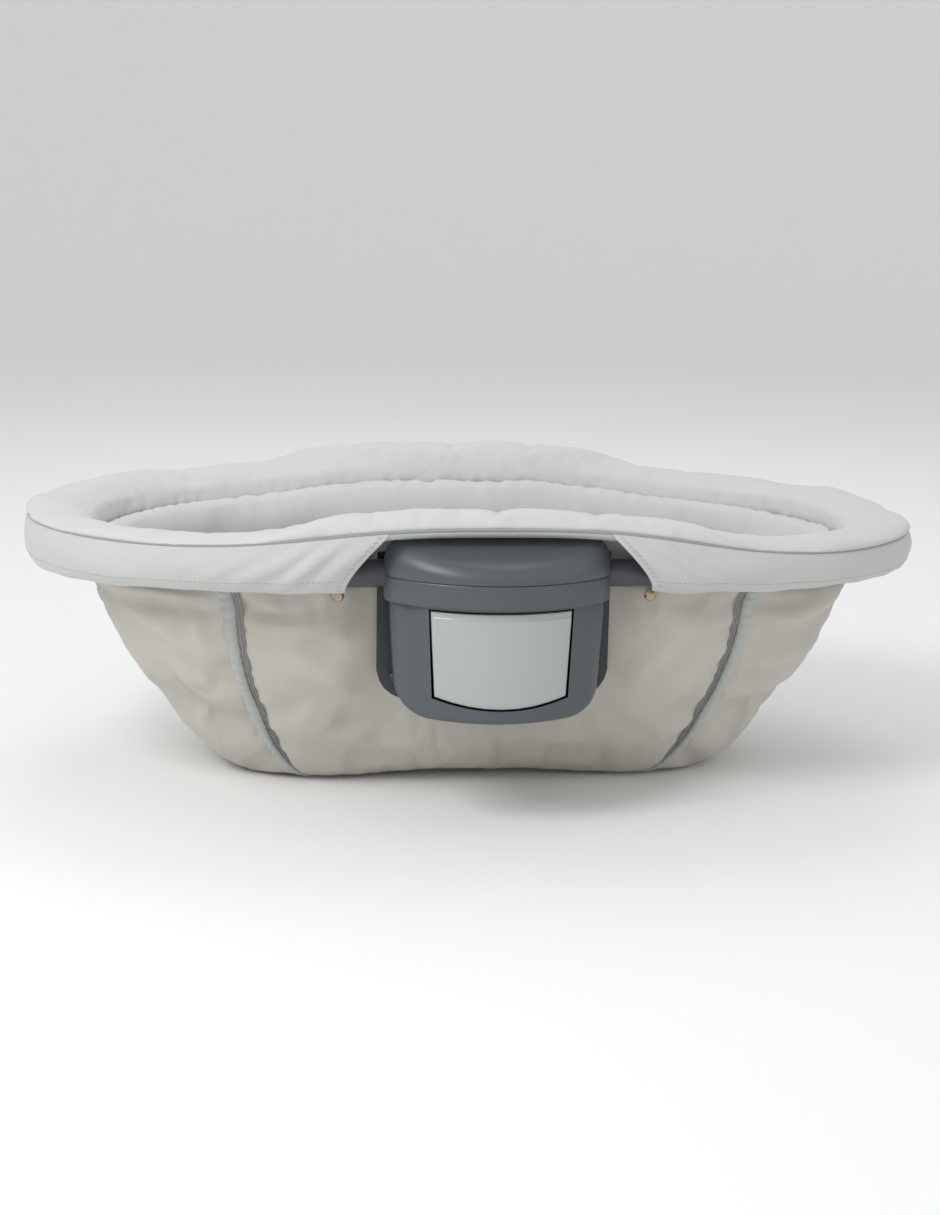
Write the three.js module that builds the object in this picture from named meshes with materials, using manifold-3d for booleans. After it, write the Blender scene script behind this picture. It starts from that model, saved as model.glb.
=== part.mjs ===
// Detachable bouncer seat: an oval tube rim with a padded roll, a fabric sling that hangs from it,
// a three-point harness, and on each side a hub whose paddle frees the seat from its stand post.
// Millimetres, +Z up, +X towards the head end, floor at Z = 0, origin under the middle of the rim.

import * as THREE from 'three';
import { mergeVertices } from 'three/addons/utils/BufferGeometryUtils.js';
import Module from 'manifold-3d';

const wasm = await Module();
wasm.setup();

// ---- driving dimensions ----

const FIT_GAP = 0.3;              // between pieces that touch
const SOFT_GAP = 1.5;             // between fabric and what it wraps

const RIM_HALF_LENGTH = 352;      // tube centreline
const RIM_HALF_WIDTH = 190;
const RIM_STRAIGHT = 95;          // half of the straight side that the hub sits on
const RIM_HEIGHT = 200;
const RIM_SQUARENESS = 2.3;       // 2 is an ellipse
const TUBE_RADIUS = 11;
const TUBE_WALL = 1.5;
const TUBE_SIDES = 10;
const JOINER_LENGTH = 80;

const ROLL_HALF_WIDTH = 30;       // padded roll round the tube
const ROLL_HALF_HEIGHT = 27;
const ROLL_LIFT = 3.5;            // roll centre above the tube centre
const ROLL_RISE = 16.5;           // extra height where it climbs over the hubs
const ROLL_RISE_SPAN = 170;
const SKIRT_DROP = 16;            // hem of the outer skirt below the roll centre
const LINER_LIP = 12;             // inner edge of the roll below its centre

const SLING_FABRIC = 3;
const FLOOR_SQUARENESS = 4;       // the sling gets squarer towards its floor
const LINER_PADDING = 10;
const LINER_STANDOFF = 8;         // space between sling and liner
const BOARD_HALF_LENGTH = 165;
const BOARD_HALF_WIDTH = 60;
const BOARD_THICKNESS = 3;
const BOARD_CORNER = 28;

const HUB_HALF_WIDTH = 89;
const HUB_BOW = 42;               // how far the front bulges out between the hub's sides
const HUB_BACK = 14;              // behind the tube centreline
const HUB_WALL = 3;
const HUB_BOTTOM = RIM_HEIGHT - 110;
const HUB_CORNER = 30;
const BAND_BOTTOM = RIM_HEIGHT - 19;
const CHEEK_INSET = 4;            // cheeks and chin lie behind the band
const CHEEK_TAPER = 5;            // the lower housing is narrower than the band
const CAP_TOP = RIM_HEIGHT + 31;
const CAP_CREST = 5;              // outward place of the cap's top edge
const CAP_SLOPE = 0.42;           // fall of the cap's top face per millimetre outwards
const CAP_SADDLE_WALL = 3;
const PLATE_THICKNESS = 3.5;
const PLATE_FLARE = 4;            // the rear plate is wider than the housing

const PADDLE_HALF_WIDTH = 58;
const PADDLE_BOTTOM = HUB_BOTTOM + 12;
const PADDLE_TOP = BAND_BOTTOM - 3.6;
const PADDLE_INSET = 2;           // behind the band's front
const PADDLE_WALL = 3;
const PADDLE_PLAY = 0.8;
const PADDLE_PRESS = 4.5;         // degrees
const WINDOW_SWING = 12;          // the paddle's opening runs in this far behind the pin
const PIN_RADIUS = 2;
const PIN_HALF_LENGTH = 49;
const PIN_HEIGHT = BAND_BOTTOM - 11;
const PIN_PLAY = 0.3;
const EAR_OUT = 37;               // centre of each paddle ear along the pin
const EAR_WIDTH = 6;

const SOCKET_OUT = 12;            // socket centre outward of the tube
const SOCKET_HALF_WIDTH = 30;     // inside
const SOCKET_HALF_DEPTH = 11;
const SOCKET_DEPTH = 55;
const SOCKET_WALL = 3;
const LATCH_HEIGHT = PIN_HEIGHT - 42;
const LATCH_THICKNESS = 3;
const LATCH_BAR = 5;
const LATCH_BITE = 3;             // how far the latch tongue stands in the socket
const LATCH_HALF_TONGUE = 22;
const LATCH_PLAY = 0.6;
const LUG_LIFT = 0.6;             // the paddle's lug clears the shelf that the latch lies on
const SPRING_RADIUS = 3.5;
const SPRING_WIRE = 0.6;
const SPRING_TURNS = 3;
const SOCKET_TO_PIN = 8;          // from the socket's front wall out to the paddle's pin
const PIN_TO_FRONT = 22;          // from the pin out to the front of the band

const PIN_OUT = SOCKET_OUT + SOCKET_HALF_DEPTH + SOCKET_WALL + SOCKET_TO_PIN;
const HUB_FRONT = PIN_OUT + PIN_TO_FRONT;
const HUB_SIDE = HUB_FRONT - HUB_BOW;

const SCREW_RADIUS = 1.7;
const SCREW_HEAD_RADIUS = 3.5;
const SCREW_HEAD = 2;
const SCREW_LENGTH = 16;
const BOSS_RADIUS = 5;
const SCREW_ACROSS = HUB_HALF_WIDTH - 21;
const SCREW_LOW = HUB_BOTTOM + 28;
const SCREW_HIGH = BAND_BOTTOM - 9;

const STRAP_WIDTH = 25;
const STRAP_THICKNESS = 1.5;
const BUCKLE_HALF_LENGTH = 24;    // along X
const BUCKLE_HALF_WIDTH = 29;     // along Y
const BUCKLE_HEIGHT = 14;
const BUCKLE_CORNER = 11;
const BUTTON_RADIUS = 9;
const BUTTON_PLAY = 0.4;
const BUTTON_TRAVEL = 3;
const BUTTON_PROUD = 1.5;
const TONGUE_HALF_WIDTH = 10;
const TONGUE_THICKNESS = 2.5;
const TONGUE_INSERT = 9;
const TONGUE_LENGTH = 31;
const TONGUE_HALF_FLARE = 16.5;
const SLIDER_LENGTH = 13;
const SLIDER_THICKNESS = 5;

const SNAP_RADIUS = 5;
const SNAP_THICKNESS = 2;
const SNAP_PLACE = HUB_HALF_WIDTH + 35;   // along X, either side of each hub
const SNAP_HEIGHT = RIM_HEIGHT - 19;

// ---- solids ----

function solidOf(geometry) {
  const plain = geometry.clone();
  plain.deleteAttribute('normal');
  plain.deleteAttribute('uv');
  const welded = mergeVertices(plain, 1e-4);
  const index = welded.index.array;
  const triangles = [];
  for (let i = 0; i < index.length; i += 3) {
    const [a, b, c] = [index[i], index[i + 1], index[i + 2]];
    if (a !== b && b !== c && c !== a) triangles.push(a, b, c);
  }
  return new wasm.Manifold(new wasm.Mesh({
    numProp: 3,
    vertProperties: new Float32Array(welded.attributes.position.array),
    triVerts: new Uint32Array(triangles),
  }));
}

function geometryOf(solid) {
  const mesh = solid.getMesh();
  const geometry = new THREE.BufferGeometry();
  geometry.setAttribute('position', new THREE.BufferAttribute(mesh.vertProperties, 3));
  geometry.setIndex(new THREE.BufferAttribute(mesh.triVerts, 1));
  geometry.computeVertexNormals();
  return geometry;
}

function cut(body, ...tools) {
  return tools.reduce((left, tool) => left.subtract(tool), body);
}

function join(body, ...others) {
  return others.reduce((sum, other) => sum.add(other), body);
}

// A flat outline drawn in X and Y, standing between two heights.
function prismZ(shape, low, high, curveSegments = 8) {
  const geometry = new THREE.ExtrudeGeometry(shape, { depth: high - low, bevelEnabled: false, curveSegments });
  return solidOf(geometry.translate(0, 0, low));
}

// A flat outline drawn in X and Z, running between two places along Y.
function prismY(shape, low, high, curveSegments = 8) {
  const geometry = new THREE.ExtrudeGeometry(shape, { depth: high - low, bevelEnabled: false, curveSegments });
  return solidOf(geometry.rotateX(Math.PI / 2).translate(0, high, 0));
}

// A flat outline drawn in Y and Z, running between two places along X.
function prismX(shape, low, high, curveSegments = 8) {
  const geometry = new THREE.ExtrudeGeometry(shape, { depth: high - low, bevelEnabled: false, curveSegments });
  return solidOf(geometry.rotateX(Math.PI / 2).rotateZ(Math.PI / 2).translate(low, 0, 0));
}

function block(x0, x1, y0, y1, z0, z1) {
  const geometry = new THREE.BoxGeometry(x1 - x0, y1 - y0, z1 - z0);
  return solidOf(geometry.translate((x0 + x1) / 2, (y0 + y1) / 2, (z0 + z1) / 2));
}

function rodX(radius, x0, x1, y, z, sides = 16) {
  const geometry = new THREE.CylinderGeometry(radius, radius, x1 - x0, sides);
  return solidOf(geometry.rotateZ(Math.PI / 2).translate((x0 + x1) / 2, y, z));
}

function rodY(radius, y0, y1, x, z, sides = 12) {
  const geometry = new THREE.CylinderGeometry(radius, radius, y1 - y0, sides);
  return solidOf(geometry.translate(x, (y0 + y1) / 2, z));
}

function rodZ(radius, z0, z1, x, y, sides = 20) {
  const geometry = new THREE.CylinderGeometry(radius, radius, z1 - z0, sides);
  return solidOf(geometry.rotateX(Math.PI / 2).translate(x, y, (z0 + z1) / 2));
}

function polygon(points) {
  return new THREE.Shape(points.map(([a, b]) => new THREE.Vector2(a, b)));
}

function roundedRectangle(x0, x1, y0, y1, radius) {
  const shape = new THREE.Shape();
  shape.moveTo(x0 + radius, y0);
  shape.lineTo(x1 - radius, y0);
  shape.absarc(x1 - radius, y0 + radius, radius, -Math.PI / 2, 0, false);
  shape.lineTo(x1, y1 - radius);
  shape.absarc(x1 - radius, y1 - radius, radius, 0, Math.PI / 2, false);
  shape.lineTo(x0 + radius, y1);
  shape.absarc(x0 + radius, y1 - radius, radius, Math.PI / 2, Math.PI, false);
  shape.lineTo(x0, y0 + radius);
  shape.absarc(x0 + radius, y0 + radius, radius, Math.PI, 1.5 * Math.PI, false);
  return shape;
}

// ---- plan outlines ----

// A point on the oval outline at an angle, with its outward direction.
function ovalPoint(angle, halfLength, halfWidth, squareness = RIM_SQUARENESS) {
  const straight = RIM_STRAIGHT * halfLength / RIM_HALF_LENGTH;
  const c = Math.cos(angle);
  const s = Math.sin(angle);
  const alongX = Math.abs(c) < 1e-9 ? 0 : Math.sign(c);
  const alongY = Math.abs(s) < 1e-9 ? 0 : Math.sign(s);
  const power = 2 / squareness;
  const x = alongX * (straight + (halfLength - straight) * Math.abs(c) ** power);
  const y = alongY * halfWidth * Math.abs(s) ** power;
  const normal = new THREE.Vector2(
    alongX * Math.abs(c) ** (2 - power) / (halfLength - straight),
    alongY * Math.abs(s) ** (2 - power) / halfWidth,
  ).normalize();
  return { x, y, normal };
}

// Turns a closed or axis-to-axis profile into a body round the oval; each profile point gives its own place.
function ovalBody(profile, placeOf, segments) {
  const points = profile.map((item, index) => new THREE.Vector2(index + 1, index));
  const geometry = new THREE.LatheGeometry(points, segments);
  const position = geometry.attributes.position;
  for (let i = 0; i <= segments; i += 1) {
    const angle = (i % segments) * 2 * Math.PI / segments;
    profile.forEach((item, j) => {
      const place = placeOf(item, angle);
      position.setXYZ(i * profile.length + j, place.x, place.y, place.z);
    });
  }
  return solidOf(geometry);
}

function tubPlace([halfLength, halfWidth, z], angle) {
  const squareness = THREE.MathUtils.mapLinear(
    Math.min(z, RIM_HEIGHT), 0, RIM_HEIGHT, FLOOR_SQUARENESS, RIM_SQUARENESS);
  const { x, y } = ovalPoint(angle, Math.max(halfLength, 1e-3), Math.max(halfWidth, 1e-3), squareness);
  return new THREE.Vector3(halfLength > 0 ? x : 0, halfWidth > 0 ? y : 0, z);
}

function rollRise(x) {
  return ROLL_RISE * Math.exp(-((Math.abs(x) / ROLL_RISE_SPAN) ** 3));
}

function rollPlace([outward, up], angle) {
  const { x, y, normal } = ovalPoint(angle, RIM_HALF_LENGTH, RIM_HALF_WIDTH);
  const z = RIM_HEIGHT + ROLL_LIFT + rollRise(x) + up;
  return new THREE.Vector3(x + normal.x * outward, y + normal.y * outward, z);
}

// ---- rim frame ----

// Half of the rim centreline: along one straight side, round the end and back along the other side.
class RimHalf extends THREE.Curve {
  getPoint(t, target = new THREE.Vector3()) {
    const straightShare = 0.12;
    if (t < straightShare) {
      const x = THREE.MathUtils.mapLinear(t, 0, straightShare, FIT_GAP, RIM_STRAIGHT);
      return target.set(x, -RIM_HALF_WIDTH, RIM_HEIGHT);
    }
    if (t > 1 - straightShare) {
      const x = THREE.MathUtils.mapLinear(t, 1 - straightShare, 1, RIM_STRAIGHT, FIT_GAP);
      return target.set(x, RIM_HALF_WIDTH, RIM_HEIGHT);
    }
    const angle = THREE.MathUtils.mapLinear(t, straightShare, 1 - straightShare, -Math.PI / 2, Math.PI / 2);
    const { x, y } = ovalPoint(angle, RIM_HALF_LENGTH, RIM_HALF_WIDTH);
    return target.set(Math.max(x, RIM_STRAIGHT), y, RIM_HEIGHT);
  }
}

function circleOutline(radius, sides) {
  const points = [];
  for (let i = 0; i < sides; i += 1) {
    const angle = i * 2 * Math.PI / sides;
    points.push(new THREE.Vector2(radius * Math.cos(angle), radius * Math.sin(angle)));
  }
  return points;
}

function rimTube() {
  const section = new THREE.Shape(circleOutline(TUBE_RADIUS, TUBE_SIDES));
  section.holes.push(new THREE.Path(circleOutline(TUBE_RADIUS - TUBE_WALL, TUBE_SIDES)));
  const options = { steps: 30, bevelEnabled: false, extrudePath: new RimHalf() };
  return geometryOf(solidOf(new THREE.ExtrudeGeometry(section, options)));
}

function tubeJoiner() {
  const radius = (TUBE_RADIUS - TUBE_WALL) * Math.cos(Math.PI / TUBE_SIDES) - FIT_GAP;
  const half = JOINER_LENGTH / 2;
  return geometryOf(rodX(radius, -half, half, 0, RIM_HEIGHT, TUBE_SIDES));
}

// ---- soft goods ----

// How far the fabric tub lies inside the rim's centreline, along and across, at each share of the rim's height.
const SLING_DRAW_IN = [
  [174, 120, 0], [155, 109, 0.015], [133, 96, 0.075], [109, 78, 0.2], [86, 60, 0.355],
  [68, 44, 0.485], [51, 30, 0.625], [38, 20, 0.75], [28, 13, 0.845],
];
const slingOutside = SLING_DRAW_IN.map(
  ([along, across, share]) => [RIM_HALF_LENGTH - along, RIM_HALF_WIDTH - across, RIM_HEIGHT * share]);
slingOutside.push([RIM_HALF_LENGTH - 11, RIM_HALF_WIDTH - 5, RIM_HEIGHT - TUBE_RADIUS - SOFT_GAP]);

function inset(profile, thickness) {
  return profile.map(([halfLength, halfWidth, z]) => [halfLength - thickness * 1.15, halfWidth - thickness, z]);
}

function tubOutside(z) {
  let low = slingOutside[0];
  let high = slingOutside[1];
  for (let i = 1; i < slingOutside.length; i += 1) {
    low = slingOutside[i - 1];
    high = slingOutside[i];
    if (z <= high[2]) break;
  }
  const share = (z - low[2]) / (high[2] - low[2]);
  return [0, 1].map((axis) => low[axis] + share * (high[axis] - low[axis]));
}

function hubClearance(side) {
  const reach = HUB_HALF_WIDTH + PLATE_FLARE + SOFT_GAP;
  const behind = -HUB_BACK - FIT_GAP - PLATE_THICKNESS - SCREW_HEAD - FIT_GAP - SOFT_GAP;
  const saddle = RIM_HEIGHT + TUBE_RADIUS + FIT_GAP + CAP_SADDLE_WALL + 1 + SOFT_GAP;
  const crest = CAP_TOP + SOFT_GAP;
  const front = HUB_FRONT + SOFT_GAP;
  const frontTop = crest - (front - CAP_CREST) * CAP_SLOPE;
  const outline = polygon([
    [behind, HUB_BOTTOM - 30], [front, HUB_BOTTOM - 30], [front, frontTop], [CAP_CREST, crest],
    [CAP_CREST - HUB_WALL - 1 - SOFT_GAP, crest], [CAP_CREST - HUB_WALL - 1 - SOFT_GAP, saddle], [behind, saddle],
  ]);
  const solid = prismX(outline, -reach, reach).translate([0, RIM_HALF_WIDTH, 0]);
  return side > 0 ? solid : solid.rotate([0, 0, 180]);
}

function slingShell() {
  const inner = inset(slingOutside, SLING_FABRIC).reverse();
  inner[inner.length - 1][2] = SLING_FABRIC;
  inner[inner.length - 2][2] = SLING_FABRIC + 2;
  const profile = [[0, 0, 0], ...slingOutside, ...inner, [0, 0, SLING_FABRIC]];
  const shell = ovalBody(profile, tubPlace, 48);
  return geometryOf(cut(shell, hubClearance(1), hubClearance(-1)));
}

function seatLiner() {
  const top = RIM_HEIGHT - 2;
  const roll = ROLL_HALF_WIDTH + 2 * SOFT_GAP;
  const outside = inset(slingOutside.slice(2, 9), SLING_FABRIC + LINER_STANDOFF);
  const floor = SLING_FABRIC + BOARD_THICKNESS + 2 * SOFT_GAP;
  outside.unshift([outside[0][0] - 22, outside[0][1] - 14, floor]);
  outside.push([RIM_HALF_LENGTH - roll, RIM_HALF_WIDTH - roll, top]);
  const inner = inset(outside, LINER_PADDING).reverse();
  inner[inner.length - 1][2] = floor + LINER_PADDING;
  inner[inner.length - 2][2] = floor + LINER_PADDING + 4;
  const profile = [[0, 0, floor], ...outside, ...inner, [0, 0, floor + LINER_PADDING]];
  return geometryOf(ovalBody(profile, tubPlace, 48));
}

function rimRoll() {
  const sleeve = TUBE_RADIUS + SOFT_GAP;
  const section = [[sleeve, -SKIRT_DROP], [ROLL_HALF_WIDTH - 5, -SKIRT_DROP - 0.5], [ROLL_HALF_WIDTH - 1, -8]];
  for (let degrees = 0; degrees <= 180; degrees += 30) {
    const angle = THREE.MathUtils.degToRad(degrees);
    section.push([ROLL_HALF_WIDTH * Math.cos(angle), ROLL_HALF_HEIGHT * Math.sin(angle)]);
  }
  section.push([-ROLL_HALF_WIDTH + 2, -7], [-ROLL_HALF_WIDTH + 8, -LINER_LIP], [-sleeve, -LINER_LIP]);
  for (let degrees = 180; degrees >= 0; degrees -= 45) {
    const angle = THREE.MathUtils.degToRad(degrees);
    section.push([sleeve * Math.cos(angle), sleeve * Math.sin(angle)]);
  }
  section.push(section[0]);
  const ring = ovalBody(section, rollPlace, 60);
  return geometryOf(cut(ring, hubClearance(1), hubClearance(-1)));
}

function baseBoard() {
  const outline = roundedRectangle(
    -BOARD_HALF_LENGTH, BOARD_HALF_LENGTH, -BOARD_HALF_WIDTH, BOARD_HALF_WIDTH, BOARD_CORNER);
  const low = SLING_FABRIC + SOFT_GAP;
  return geometryOf(prismZ(outline, low, low + BOARD_THICKNESS, 4));
}

// ---- side hub; X along the rim, Y outwards from the tube centreline, Z the height above the floor ----

function frontArc(shape, halfWidth, front, side) {
  const sag = front - side;
  const radius = (halfWidth * halfWidth + sag * sag) / (2 * sag);
  const spread = Math.asin(halfWidth / radius);
  shape.absarc(0, front - radius, radius, Math.PI / 2 - spread, Math.PI / 2 + spread, false);
}

function hubPlan(halfWidth, front, side, back) {
  const shape = new THREE.Shape();
  shape.moveTo(-halfWidth, back);
  shape.lineTo(halfWidth, back);
  shape.lineTo(halfWidth, side);
  frontArc(shape, halfWidth, front, side);
  return shape;
}

// The hub seen from outside: straight sides, round lower corners and a bowed chin.
function hubFace(halfWidth, bottom, top, corner) {
  const shoulder = bottom + corner;
  const shape = new THREE.Shape();
  shape.moveTo(-halfWidth, top);
  shape.lineTo(-halfWidth, shoulder);
  shape.quadraticCurveTo(-halfWidth + 3, bottom + 8, -halfWidth + corner, bottom + 5);
  shape.quadraticCurveTo(0, bottom - 5, halfWidth - corner, bottom + 5);
  shape.quadraticCurveTo(halfWidth - 3, bottom + 8, halfWidth, shoulder);
  shape.lineTo(halfWidth, top);
  return shape;
}

function tubeNotch() {
  const radius = TUBE_RADIUS / Math.cos(Math.PI / TUBE_SIDES) + FIT_GAP;
  return rodX(radius, -HUB_HALF_WIDTH - 10, HUB_HALF_WIDTH + 10, 0, RIM_HEIGHT, 14);
}

function hubHousing() {
  const open = 20;
  const bandPlan = hubPlan(HUB_HALF_WIDTH, HUB_FRONT, HUB_SIDE, -HUB_BACK);
  const band = prismZ(bandPlan, BAND_BOTTOM, RIM_HEIGHT, 10);
  const cheek = HUB_HALF_WIDTH - CHEEK_TAPER;
  const cheekFront = HUB_FRONT - CHEEK_INSET;
  const cheekSide = HUB_SIDE - CHEEK_INSET;
  const cheekPlan = prismZ(hubPlan(cheek, cheekFront, cheekSide, -HUB_BACK), HUB_BOTTOM - 5, BAND_BOTTOM + 1, 10);
  const face = prismY(hubFace(cheek, HUB_BOTTOM, BAND_BOTTOM + 1, HUB_CORNER), -HUB_BACK - 1, HUB_FRONT + 1, 4);
  const outside = join(band, cheekPlan.intersect(face));

  const innerHalf = cheek - HUB_WALL;
  const hollowPlan = prismZ(
    hubPlan(innerHalf, cheekFront - HUB_WALL, cheekSide - HUB_WALL, -HUB_BACK - open),
    HUB_BOTTOM, RIM_HEIGHT + open, 10);
  const hollowFace = prismY(
    hubFace(innerHalf, HUB_BOTTOM + HUB_WALL, RIM_HEIGHT + open, HUB_CORNER - HUB_WALL),
    -HUB_BACK - open, HUB_FRONT, 4);
  const hollow = hollowPlan.intersect(hollowFace);

  const dip = (HUB_FRONT - PIN_OUT) * Math.sin(THREE.MathUtils.degToRad(PADDLE_PRESS));
  const window = prismY(
    roundedRectangle(
      -PADDLE_HALF_WIDTH - PADDLE_PLAY, PADDLE_HALF_WIDTH + PADDLE_PLAY,
      PADDLE_BOTTOM - PADDLE_PLAY - dip, BAND_BOTTOM, 11),
    PIN_OUT - WINDOW_SWING, HUB_FRONT + 5, 4);
  const mouth = block(
    -SOCKET_HALF_WIDTH - SOCKET_WALL - FIT_GAP, SOCKET_HALF_WIDTH + SOCKET_WALL + FIT_GAP,
    -HUB_BACK - 1, SOCKET_OUT + SOCKET_HALF_DEPTH + SOCKET_WALL + FIT_GAP, HUB_BOTTOM - 10, HUB_BOTTOM + 20);

  const parts = [];
  for (const side of [-1, 1]) {
    const bracket = side * (PIN_HALF_LENGTH - EAR_WIDTH / 2);
    parts.push(block(
      bracket - EAR_WIDTH / 2, bracket + EAR_WIDTH / 2,
      PIN_OUT - 6, PIN_OUT + 4.5, PIN_HEIGHT - 6, RIM_HEIGHT - TUBE_RADIUS));
    parts.push(block(
      bracket - EAR_WIDTH / 2, bracket + EAR_WIDTH / 2,
      PIN_OUT, PIN_OUT + 8, BAND_BOTTOM + 2, RIM_HEIGHT - TUBE_RADIUS));
    for (const height of [SCREW_LOW, SCREW_HIGH]) {
      parts.push(rodY(BOSS_RADIUS, -HUB_BACK, HUB_SIDE + 16, side * SCREW_ACROSS, height, 8));
    }
  }
  const shell = cut(outside, hollow, window, mouth);
  const whole = join(shell, ...parts.map((part) => part.intersect(outside)));
  const holes = [rodX(PIN_RADIUS + PIN_PLAY, -PIN_HALF_LENGTH - 1, PIN_HALF_LENGTH + 1, PIN_OUT, PIN_HEIGHT, 12)];
  for (const side of [-1, 1]) {
    for (const height of [SCREW_LOW, SCREW_HIGH]) {
      const depth = SCREW_LENGTH + 1;
      holes.push(rodY(SCREW_RADIUS + FIT_GAP, -HUB_BACK - 1, -HUB_BACK + depth, side * SCREW_ACROSS, height, 8));
    }
  }
  return geometryOf(cut(whole, tubeNotch(), ...holes));
}

function hubCap() {
  const low = RIM_HEIGHT + FIT_GAP;
  const saddleTop = RIM_HEIGHT + TUBE_RADIUS + FIT_GAP + CAP_SADDLE_WALL + 1;
  const front = HUB_FRONT + 2;
  const drop = (front - CAP_CREST) * CAP_SLOPE;
  const rear = CAP_CREST - HUB_WALL - 1;
  const profile = polygon([
    [-HUB_BACK, low], [front, low], [front, CAP_TOP - drop], [CAP_CREST, CAP_TOP],
    [rear, CAP_TOP], [rear, saddleTop], [-HUB_BACK, saddleTop],
  ]);
  const below = HUB_WALL + 0.3;
  const inside = polygon([
    [-HUB_BACK - 5, low - 5], [front, low - 5], [front, CAP_TOP - drop - below], [CAP_CREST, CAP_TOP - below],
    [rear + HUB_WALL, CAP_TOP - below], [rear + HUB_WALL, saddleTop - CAP_SADDLE_WALL],
    [-HUB_BACK - 5, saddleTop - CAP_SADDLE_WALL],
  ]);
  const plan = prismZ(hubPlan(HUB_HALF_WIDTH, HUB_FRONT, HUB_SIDE, -HUB_BACK), low, CAP_TOP, 10);
  const hollow = prismZ(
    hubPlan(HUB_HALF_WIDTH - HUB_WALL, HUB_FRONT - HUB_WALL, HUB_SIDE - HUB_WALL, -HUB_BACK - 5), low - 5, CAP_TOP, 10);
  const outside = plan.intersect(prismX(profile, -HUB_HALF_WIDTH, HUB_HALF_WIDTH));
  const room = hollow.intersect(prismX(inside, -HUB_HALF_WIDTH, HUB_HALF_WIDTH));
  return geometryOf(cut(outside, room, tubeNotch()));
}

function hubBackPlate() {
  const top = RIM_HEIGHT + TUBE_RADIUS + FIT_GAP + CAP_SADDLE_WALL + 1;
  const front = -HUB_BACK - FIT_GAP;
  const face = hubFace(HUB_HALF_WIDTH + PLATE_FLARE, HUB_BOTTOM - 2, top, HUB_CORNER);
  const plate = prismY(face, front - PLATE_THICKNESS, front, 5);
  const holes = [];
  for (const side of [-1, 1]) {
    for (const height of [SCREW_LOW, SCREW_HIGH]) {
      holes.push(rodY(
        SCREW_RADIUS + FIT_GAP, front - PLATE_THICKNESS - 1, front + 1, side * SCREW_ACROSS, height, 8));
    }
  }
  return geometryOf(cut(plate, ...holes));
}

function hubScrew(across, height) {
  const seat = -HUB_BACK - 2 * FIT_GAP - PLATE_THICKNESS;
  const profile = [
    [0, 0], [SCREW_HEAD_RADIUS, 0], [SCREW_HEAD_RADIUS, SCREW_HEAD * 0.5], [SCREW_HEAD_RADIUS * 0.7, SCREW_HEAD],
    [0, SCREW_HEAD],
  ];
  const head = new THREE.LatheGeometry(profile.map(([r, y]) => new THREE.Vector2(r, y)), 8);
  const top = solidOf(head.rotateX(Math.PI).translate(across, seat, height));
  return geometryOf(join(top, rodY(SCREW_RADIUS, seat - 0.5, seat + SCREW_LENGTH, across, height, 8)));
}

const socketBack = SOCKET_OUT - SOCKET_HALF_DEPTH - SOCKET_WALL;
const socketFront = SOCKET_OUT + SOCKET_HALF_DEPTH + SOCKET_WALL;
const socketSide = SOCKET_HALF_WIDTH + SOCKET_WALL;
const latchArm = PIN_HEIGHT - LATCH_HEIGHT;
const latchTravel = latchArm * THREE.MathUtils.degToRad(PADDLE_PRESS);
const latchFront = socketFront + latchTravel + LATCH_PLAY + LATCH_BAR;

function postSocket() {
  const bottom = HUB_BOTTOM + 2;
  const top = bottom + SOCKET_DEPTH + SOCKET_WALL;
  const shelfTop = LATCH_HEIGHT - LATCH_THICKNESS / 2 - FIT_GAP;
  const body = block(-socketSide, socketSide, socketBack, socketFront, bottom, top);
  const shelf = block(-socketSide - 9, socketSide + 9, socketBack - 5, socketFront + 9, shelfTop - 3, shelfTop);
  const room = block(
    -SOCKET_HALF_WIDTH, SOCKET_HALF_WIDTH, SOCKET_OUT - SOCKET_HALF_DEPTH, SOCKET_OUT + SOCKET_HALF_DEPTH,
    bottom - 1, bottom + SOCKET_DEPTH);
  const gate = block(
    -LATCH_HALF_TONGUE - LATCH_PLAY, LATCH_HALF_TONGUE + LATCH_PLAY, socketBack - 6, SOCKET_OUT,
    LATCH_HEIGHT - LATCH_THICKNESS / 2 - LATCH_PLAY, LATCH_HEIGHT + LATCH_THICKNESS / 2 + LATCH_PLAY);
  return geometryOf(cut(join(body, shelf), room, gate));
}

function latchSlider() {
  const low = LATCH_HEIGHT - LATCH_THICKNESS / 2;
  const high = LATCH_HEIGHT + LATCH_THICKNESS / 2;
  const inside = socketSide + LATCH_PLAY;
  const back = socketBack - LATCH_PLAY;
  const front = latchFront - LATCH_BAR;
  const ring = cut(
    block(-inside - LATCH_BAR, inside + LATCH_BAR, back - LATCH_BAR, latchFront, low, high),
    block(-inside, inside, back, front, low - 1, high + 1));
  const bite = SOCKET_OUT - SOCKET_HALF_DEPTH + LATCH_BITE;
  const tongue = block(-LATCH_HALF_TONGUE, LATCH_HALF_TONGUE, back - LATCH_BAR / 2, bite, low, high);
  return geometryOf(join(ring, tongue));
}

function latchSpring() {
  const start = -HUB_BACK + FIT_GAP + SPRING_WIRE;
  const end = socketBack - LATCH_PLAY - LATCH_BAR - FIT_GAP - SPRING_WIRE;
  class Coil extends THREE.Curve {
    getPoint(t, target = new THREE.Vector3()) {
      const angle = t * SPRING_TURNS * 2 * Math.PI;
      const y = THREE.MathUtils.lerp(start, end, t);
      return target.set(SPRING_RADIUS * Math.cos(angle), y, LATCH_HEIGHT + SPRING_RADIUS * Math.sin(angle));
    }
  }
  const wire = new THREE.Shape(circleOutline(SPRING_WIRE, 5));
  const options = { steps: SPRING_TURNS * 8, bevelEnabled: false, extrudePath: new Coil() };
  return geometryOf(solidOf(new THREE.ExtrudeGeometry(wire, options)));
}

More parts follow.
